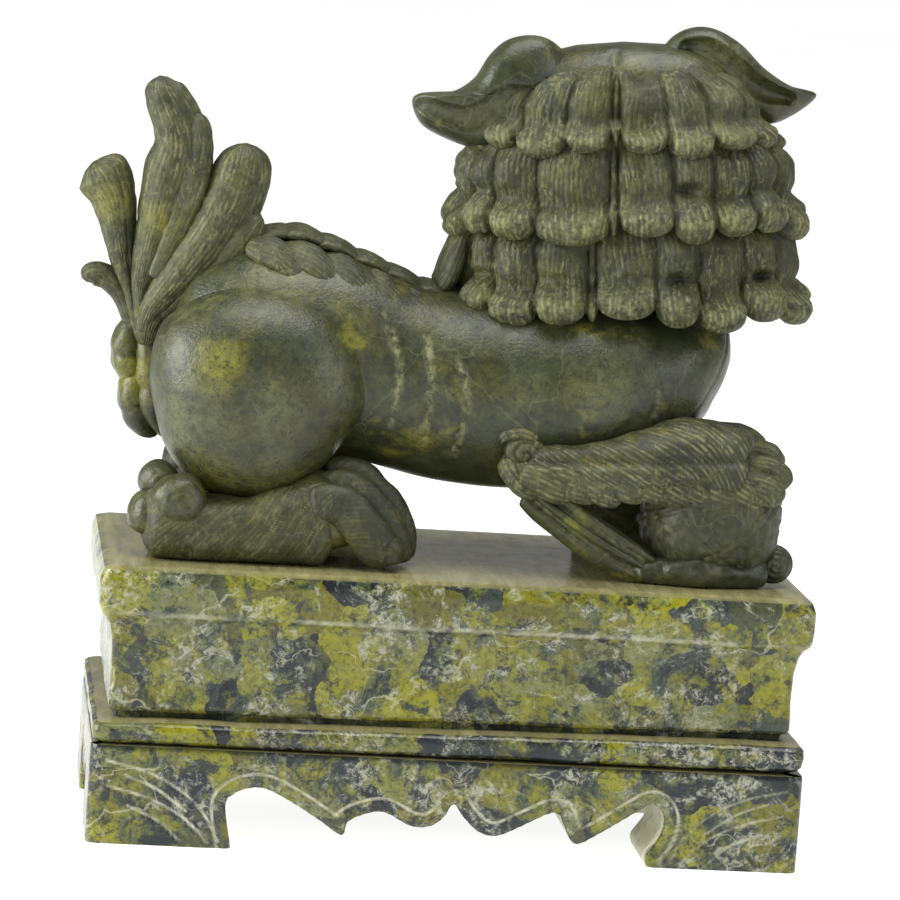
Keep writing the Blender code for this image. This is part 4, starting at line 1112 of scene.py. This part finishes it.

# %% [markdown]
# ## Stone
#
# Both stones are serpentine. Its colour comes from patches that grew into each other, with darker specks
# and pale veins, so each finish is a few layers of noise in the block's own space. The pattern runs on from
# piece to piece, as it does in one stone. The mesh's marks then bring in the pale powder, the painted light
# and the painted shade, and "matte" dulls the hair where the polish is gone.


# %% Shader helpers
class Stone:
    """Builds one stone material step by step."""

    def __init__(self, name):
        self.material = bpy.data.materials.new(name)
        self.material.use_nodes = True
        self.nodes, self.links = self.material.node_tree.nodes, self.material.node_tree.links
        self.nodes.clear()
        self.place = self.nodes.new("ShaderNodeTexCoord").outputs["Object"]

    def put(self, socket, value):
        if isinstance(value, bpy.types.NodeSocket):
            self.links.new(value, socket)
        else:
            socket.default_value = value

    def node(self, kind, inputs, **settings):
        """A new node with its settings, and with a value or another node's output for each input."""
        node = self.nodes.new("ShaderNode" + kind)
        for name, value in settings.items():
            setattr(node, name, value)
        for socket, value in inputs.items():
            self.put(node.inputs[socket], value)
        return node.outputs

    def noise(self, size_mm, detail=4, rough=0.55, distort=0.0, stretch=(1, 1, 1), shift=0.0):
        moved = self.node("Mapping", {"Scale": stretch, "Location": (shift, shift * 0.7, shift * 0.3),
                                      "Vector": self.place})
        return self.node("TexNoise", {"Vector": moved["Vector"], "Scale": 1000 / size_mm, "Detail": detail,
                                      "Roughness": rough, "Distortion": distort})["Fac"]

    def cells(self, size_mm, bend_mm=0.0, bend_size=10, feature="F1", stretch=(1, 1, 1)):
        """Voronoi cells, whose borders are bent by noise."""
        noise = self.node("TexNoise", {"Vector": self.place, "Scale": 1000 / bend_size, "Detail": 4})
        bent = self.node("VectorMath", {0: noise["Color"], 1: (bend_mm * MM,) * 3, 2: self.place},
                         operation="MULTIPLY_ADD")
        moved = self.node("Mapping", {"Scale": stretch, "Vector": bent["Vector"]})
        cell = self.node("TexVoronoi", {"Vector": moved["Vector"], "Scale": 1000 / size_mm},
                         feature=feature)
        return cell["Distance" if feature == "DISTANCE_TO_EDGE" else "Color"]

    def steps(self, value, *stops):
        """A ramp of (place, value or colour) stops."""
        ramp = self.nodes.new("ShaderNodeValToRGB")
        elements = ramp.color_ramp.elements
        while len(elements) < len(stops):
            elements.new(0.5)
        for element, (place, colour) in zip(elements, stops):
            element.position = place
            element.color = (*colour, 1) if isinstance(colour, tuple) else (colour, colour, colour, 1)
        self.put(ramp.inputs["Fac"], value)
        return ramp.outputs["Color"]

    def mix(self, share, a, b, kind="MIX"):
        a, b = [(*value, 1) if isinstance(value, tuple) else value for value in (a, b)]
        return self.node("Mix", {0: share, 6: a, 7: b}, data_type="RGBA", blend_type=kind)[2]

    def sum(self, a, kind, b):
        return self.node("Math", {0: a, 1: b}, operation=kind, use_clamp=True)[0]

    def times(self, a, b):
        return self.sum(a, "MULTIPLY", b)

    def marked(self, name):
        """A mark that the tools left on the mesh."""
        return self.node("Attribute", {}, attribute_name=name)["Fac"]

    def spot(self, place, size):
        """A soft uneven spot round a place in the carver's frame."""
        away = self.node("VectorMath", {0: self.place, 1: in_metres(place)}, operation="DISTANCE")["Value"]
        uneven = self.times(self.noise(4, 4, 0.65), size * MM * 1.3)
        return self.steps(self.times(self.sum(away, "ADD", uneven), 0.5 / (size * MM)), (0.42, 0.9),
                          (0.9, 0.0))

    def level(self, top, bottom):
        """From 0 at one height above the floor in mm to 1 at a lower one."""
        height = self.node("SeparateXYZ", {0: self.place})["Z"]
        return self.steps(self.times(height, 10), (bottom / 100, 1.0), (top / 100, 0.0))

    def painted_shade(self):
        """Painted shade in grooves, seams, pits and shaded lower parts, where the attribute is negative."""
        return self.times(self.marked("dust_and_shading"), -1)

    def upward(self):
        """How much a surface faces straight up."""
        normal = self.node("NewGeometry", {})["Normal"]
        return self.steps(self.node("SeparateXYZ", {0: normal})["Z"], (0.93, 0.0), (0.99, 1.0))

    def finish(self, colour, roughness, height, bump_mm, ior=1.5):
        bump = self.node("Bump", {"Distance": bump_mm * MM, "Height": height})
        shader = self.node("BsdfPrincipled", {"Base Color": colour, "Roughness": roughness, "IOR": ior,
                                              "Normal": bump["Normal"]})
        self.node("OutputMaterial", {"Surface": shader[0]})
        return self.material


# %% Lion stone
# Bright yellow spots on the thigh, the foot, the flank and the tail: where they are, and how large.
SPOTS = [((-56, -29, 104), 7.5), ((-26, -27, 68), 6), ((-10, -20, 88.5), 5), ((-81, -2, 138), 8),
         ((-73, -1, 99), 9), ((-68, -5, 134), 7)]
# Pale green clouds on the thigh, the chest, the left ear and the flank.
CLOUDS = [((-62, -27, 92), 13), ((-44, -29, 96), 9), ((62, -18, 106), 12), ((0, -20, 166), 9),
          ((30, -22, 104), 9)]
stone = Stone("olive_serpentine")
patches = stone.steps(stone.noise(30, 5, 0.6, 0.6), (0.3, (0.017, 0.02, 0.011)),
                      (0.45, (0.036, 0.039, 0.013)), (0.58, (0.06, 0.061, 0.015)),
                      (0.72, (0.105, 0.1, 0.018)))
green = stone.steps(stone.noise(14, 5, 0.65, shift=0.31), (0.4, 0.0), (0.6, 0.8))
colour = stone.mix(green, patches, (0.032, 0.041, 0.018))
yellow = stone.steps(stone.noise(11, 3, 0.6, 0.4, shift=0.83), (0.6, 0.0), (0.74, 0.85))
for place, size in SPOTS:
    yellow = stone.sum(yellow, "MAXIMUM", stone.spot(place, size))
colour = stone.mix(yellow, colour, (0.19, 0.185, 0.022))
worked = stone.times(stone.marked("matte"), stone.steps(stone.noise(9, 4, 0.6, shift=0.47), (0.4, 0.15),
                                                        (0.62, 0.9)))
colour = stone.mix(worked, colour, (0.072, 0.073, 0.013))
mist = stone.steps(stone.noise(17, 6, 0.65, shift=0.66), (0.5, 0.0), (0.66, 0.6))
for place, size in CLOUDS:
    mist = stone.sum(mist, "MAXIMUM", stone.times(stone.spot(place, size), 0.75))
colour = stone.mix(mist, colour, (0.105, 0.115, 0.055))
mottle = stone.steps(stone.noise(3.4, 8, 0.8, 0.3, shift=0.72), (0.38, 0.35), (0.56, 1.0))
colour = stone.mix(0.85, colour, mottle, "MULTIPLY")
shade = stone.steps(stone.noise(8, 5, 0.7, 0.3, shift=0.61), (0.38, 0.35), (0.58, 1.0))
colour = stone.mix(stone.times(stone.marked("matte"), 0.8), colour, shade, "MULTIPLY")
speck = stone.steps(stone.noise(0.9, 3, 0.7, shift=0.13), (0.35, 0.7), (0.47, 0.0))
colour = stone.mix(speck, colour, (0.016, 0.021, 0.013))
vein = stone.steps(stone.cells(40, 26, 18, "DISTANCE_TO_EDGE"), (0.0, 0.3), (0.006, 0.0))
colour = stone.mix(vein, colour, (0.16, 0.165, 0.09))
powder = stone.times(stone.marked("dust_and_shading"), stone.steps(stone.noise(1.7, 3, 0.65, shift=0.5), (0.4, 0.0),
                                                       (0.58, 1.0)))
stipple = stone.steps(stone.noise(1.25, 3, 0.6, 0.4, (1.5, 1.5, 0.6), 0.35), (0.54, 0.0), (0.64, 0.6))
stipple = stone.times(stipple, stone.steps(stone.noise(10, 4, 0.7, shift=0.28), (0.42, 0.1), (0.6, 1.0)))
powder = stone.sum(powder, "MAXIMUM", stone.times(stipple, stone.marked("matte")))
colour = stone.mix(stone.times(powder, 0.72), colour, (0.29, 0.295, 0.135))
# painted shade, mixed in where the mark is negative
colour = stone.mix(stone.times(stone.painted_shade(), 0.75), colour, (0.012, 0.014, 0.008))
gloss = stone.steps(stone.noise(5, 4, 0.6, shift=0.6), (0.35, 0.28), (0.7, 0.45))
gloss = stone.mix(stone.marked("matte"), gloss, (0.62, 0.62, 0.62))
rough = stone.mix(powder, gloss, (0.85, 0.85, 0.85))
grain = stone.mix(0.4, stone.noise(3.2, 4, 0.6, shift=0.2), stone.noise(0.7, 3, 0.6, shift=0.4))
lion_stone = stone.finish(colour, rough, grain, 0.3, 1.46)

# %% Plinth stone
stone = Stone("mottled_serpentine")
low = stone.level(50, 26)
pick = stone.sum(stone.cells(10, 8, 8), "SUBTRACT", stone.times(low, 0.16))
palette = stone.steps(pick, (0.2, (0.011, 0.015, 0.018)), (0.3, (0.04, 0.052, 0.043)),
                      (0.38, (0.12, 0.115, 0.012)), (0.48, (0.25, 0.25, 0.008)),
                      (0.58, (0.13, 0.15, 0.075)), (0.72, (0.24, 0.24, 0.01)))
mottle = stone.steps(stone.noise(9, 8, 0.78, 0.8), (0.37, (0.011, 0.015, 0.018)),
                     (0.45, (0.06, 0.08, 0.05)), (0.52, (0.16, 0.165, 0.02)), (0.61, (0.22, 0.22, 0.02)),
                     (0.72, (0.36, 0.37, 0.23)))
colour = stone.mix(stone.steps(stone.noise(9, 6, 0.7, shift=0.9), (0.48, 0.0), (0.55, 1.0)), palette,
                   mottle)
fine = stone.steps(stone.noise(1.3, 5, 0.8, shift=0.2), (0.36, 0.25), (0.5, 0.85), (0.68, 1.0))
colour = stone.mix(0.9, colour, fine, "MULTIPLY")
shade = stone.sum(stone.noise(9, 8, 0.8, 0.9, shift=0.4), "SUBTRACT", stone.times(low, 0.05))
colour = stone.mix(stone.steps(shade, (0.39, 0.92), (0.45, 0.0)), colour, (0.012, 0.017, 0.023))
flecks = stone.steps(stone.noise(1.9, 6, 0.8, 0.6, shift=0.7), (0.48, 0.0), (0.58, 0.85))
flecks = stone.times(flecks, stone.steps(stone.noise(13, 6, 0.75, 0.8, shift=0.55), (0.5, 0.0),
                                         (0.58, 1.0)))
colour = stone.mix(flecks, colour, (0.36, 0.365, 0.28))
vein = stone.steps(stone.cells(24, 16, 11, "DISTANCE_TO_EDGE", (0.5, 0.5, 1.5)), (0.0, 0.6), (0.011, 0.0))
vein = stone.times(vein, stone.steps(stone.noise(13, 2, shift=0.15), (0.47, 0.0), (0.56, 1.0)))
colour = stone.mix(vein, colour, (0.45, 0.44, 0.3))
# this pale mix also brings the painted light on the arch walls and the painted highlight along the slab's
# lower edge
powder = stone.times(stone.marked("dust_and_shading"), stone.steps(stone.noise(2.4, 3, 0.6, shift=0.5), (0.33, 0.25),
                                                       (0.6, 1.0)))
colour = stone.mix(stone.times(powder, 0.9), colour, (0.6, 0.59, 0.45))
# painted shade, mixed in where the mark is negative
colour = stone.mix(stone.times(stone.painted_shade(), 0.85), colour, (0.008, 0.01, 0.008))
# painted reflection on the upward-facing top of the slab
top_reflection_streaks = stone.steps(stone.noise(5, 4, 0.6, 0.2, (2.2, 0.35, 1)), (0.35, (0.18, 0.17, 0.075)),
                      (0.65, (0.29, 0.27, 0.125)))
colour = stone.mix(stone.times(stone.upward(), 0.9), colour, top_reflection_streaks)
gloss = stone.steps(stone.noise(4, 4, 0.6, shift=0.6), (0.35, 0.14), (0.7, 0.3))
rough = stone.mix(powder, gloss, (0.75, 0.75, 0.75))
grain = stone.mix(0.35, stone.noise(4.5, 4, 0.6, shift=0.2), stone.noise(0.8, 3, 0.6, shift=0.4))
grain = stone.mix(stone.times(stone.upward(), 0.9), grain, (0.5, 0.5, 0.5))
plinth_stone = stone.finish(colour, rough, grain, 0.2, 1.46)

for name, piece in made.items():
    piece.data.materials.append(plinth_stone if name.startswith("plinth") else lion_stone)
print("finished pieces:", len(made))

# %% [markdown]
# ## Floor, light and camera
#
# The statue stands on a plain pale table that is lit from within, as small carvings often are for a
# catalogue. A big soft light hangs over it, another stands at its left and a weak third at its right, so
# the polished stone shows broad highlights, and the dim room leaves its dark side dark.

# %% Stage
floor_mesh = bpy.data.meshes.new("floor")
FLOOR_RADIUS, SIDES_ROUND = 8.0, 64
turns = [2 * math.pi * k / SIDES_ROUND for k in range(SIDES_ROUND)]
rim = [(FLOOR_RADIUS * math.cos(turn), FLOOR_RADIUS * math.sin(turn), 0) for turn in turns]
floor_mesh.from_pydata([(0, 0, 0)] + rim, [], [(0, 1 + k, 1 + (k + 1) % SIDES_ROUND)
                                               for k in range(SIDES_ROUND)])
floor_mesh.shade_smooth()
floor = bpy.data.objects.new("floor", floor_mesh)
bpy.context.scene.collection.objects.link(floor)
pale = Stone("pale_floor")
tone = pale.steps(pale.noise(300, 2), (0.3, (0.34, 0.34, 0.34)), (0.7, (0.37, 0.37, 0.37)))
pale_floor = pale.finish(tone, 0.8, pale.noise(4, 3), 0.05)
shader = pale_floor.node_tree.nodes["Principled BSDF"]
shader.inputs["Emission Color"].default_value = (1, 1, 1, 1)
shader.inputs["Emission Strength"].default_value = 0.86
floor.data.materials.append(pale_floor)


def soft_light(name, place, aim, width, height, power):
    """A rectangular softbox that points at aim; sizes in metres, power in watts."""
    light = bpy.data.lights.new(name, "AREA")
    light.shape, light.size, light.size_y, light.energy = "RECTANGLE", width, height, power
    lamp = bpy.data.objects.new(name, light)
    lamp.location = place
    lamp.rotation_euler = (Vector(aim) - Vector(place)).to_track_quat("-Z", "Y").to_euler()
    bpy.context.scene.collection.objects.link(lamp)


soft_light("overhead", (0.05, -0.15, 1.1), (0, 0, 0.08), 0.9, 0.7, 11.5)
soft_light("from_left", (-1.0, -0.25, 0.4), (0, 0, 0.09), 0.7, 0.9, 19)
soft_light("from_right", (0.9, -0.75, 0.5), (0, 0, 0.09), 0.5, 0.7, 4)
world = bpy.data.worlds.new("pale_room")
world.use_nodes = True
world.node_tree.nodes["Background"].inputs["Color"].default_value = (1, 1, 1, 1)
world.node_tree.nodes["Background"].inputs["Strength"].default_value = 0.32
bpy.context.scene.world = world

# %% Camera
PLACE, AIM = Vector((-0.11035, -0.9705, 0.2230)), Vector((0.00371, -0.0025, 0.08533))
ROLL, LENS_MM = math.radians(4.10), 175.24
forward = (AIM - PLACE).normalized()
right = forward.cross(Vector((0, 0, 1))).normalized()
up = right.cross(forward)
camera_x = right * math.cos(ROLL) + up * math.sin(ROLL)
camera_y = up * math.cos(ROLL) - right * math.sin(ROLL)
camera_data = bpy.data.cameras.new("camera")
camera_data.lens, camera_data.sensor_width = LENS_MM, 36
camera = bpy.data.objects.new("camera", camera_data)
facing = Matrix((camera_x, camera_y, -forward)).transposed().to_4x4()
camera.matrix_world = Matrix.Translation(PLACE) @ facing
bpy.context.scene.collection.objects.link(camera)
bpy.context.scene.camera = camera
bpy.context.scene.view_settings.view_transform = "Standard"
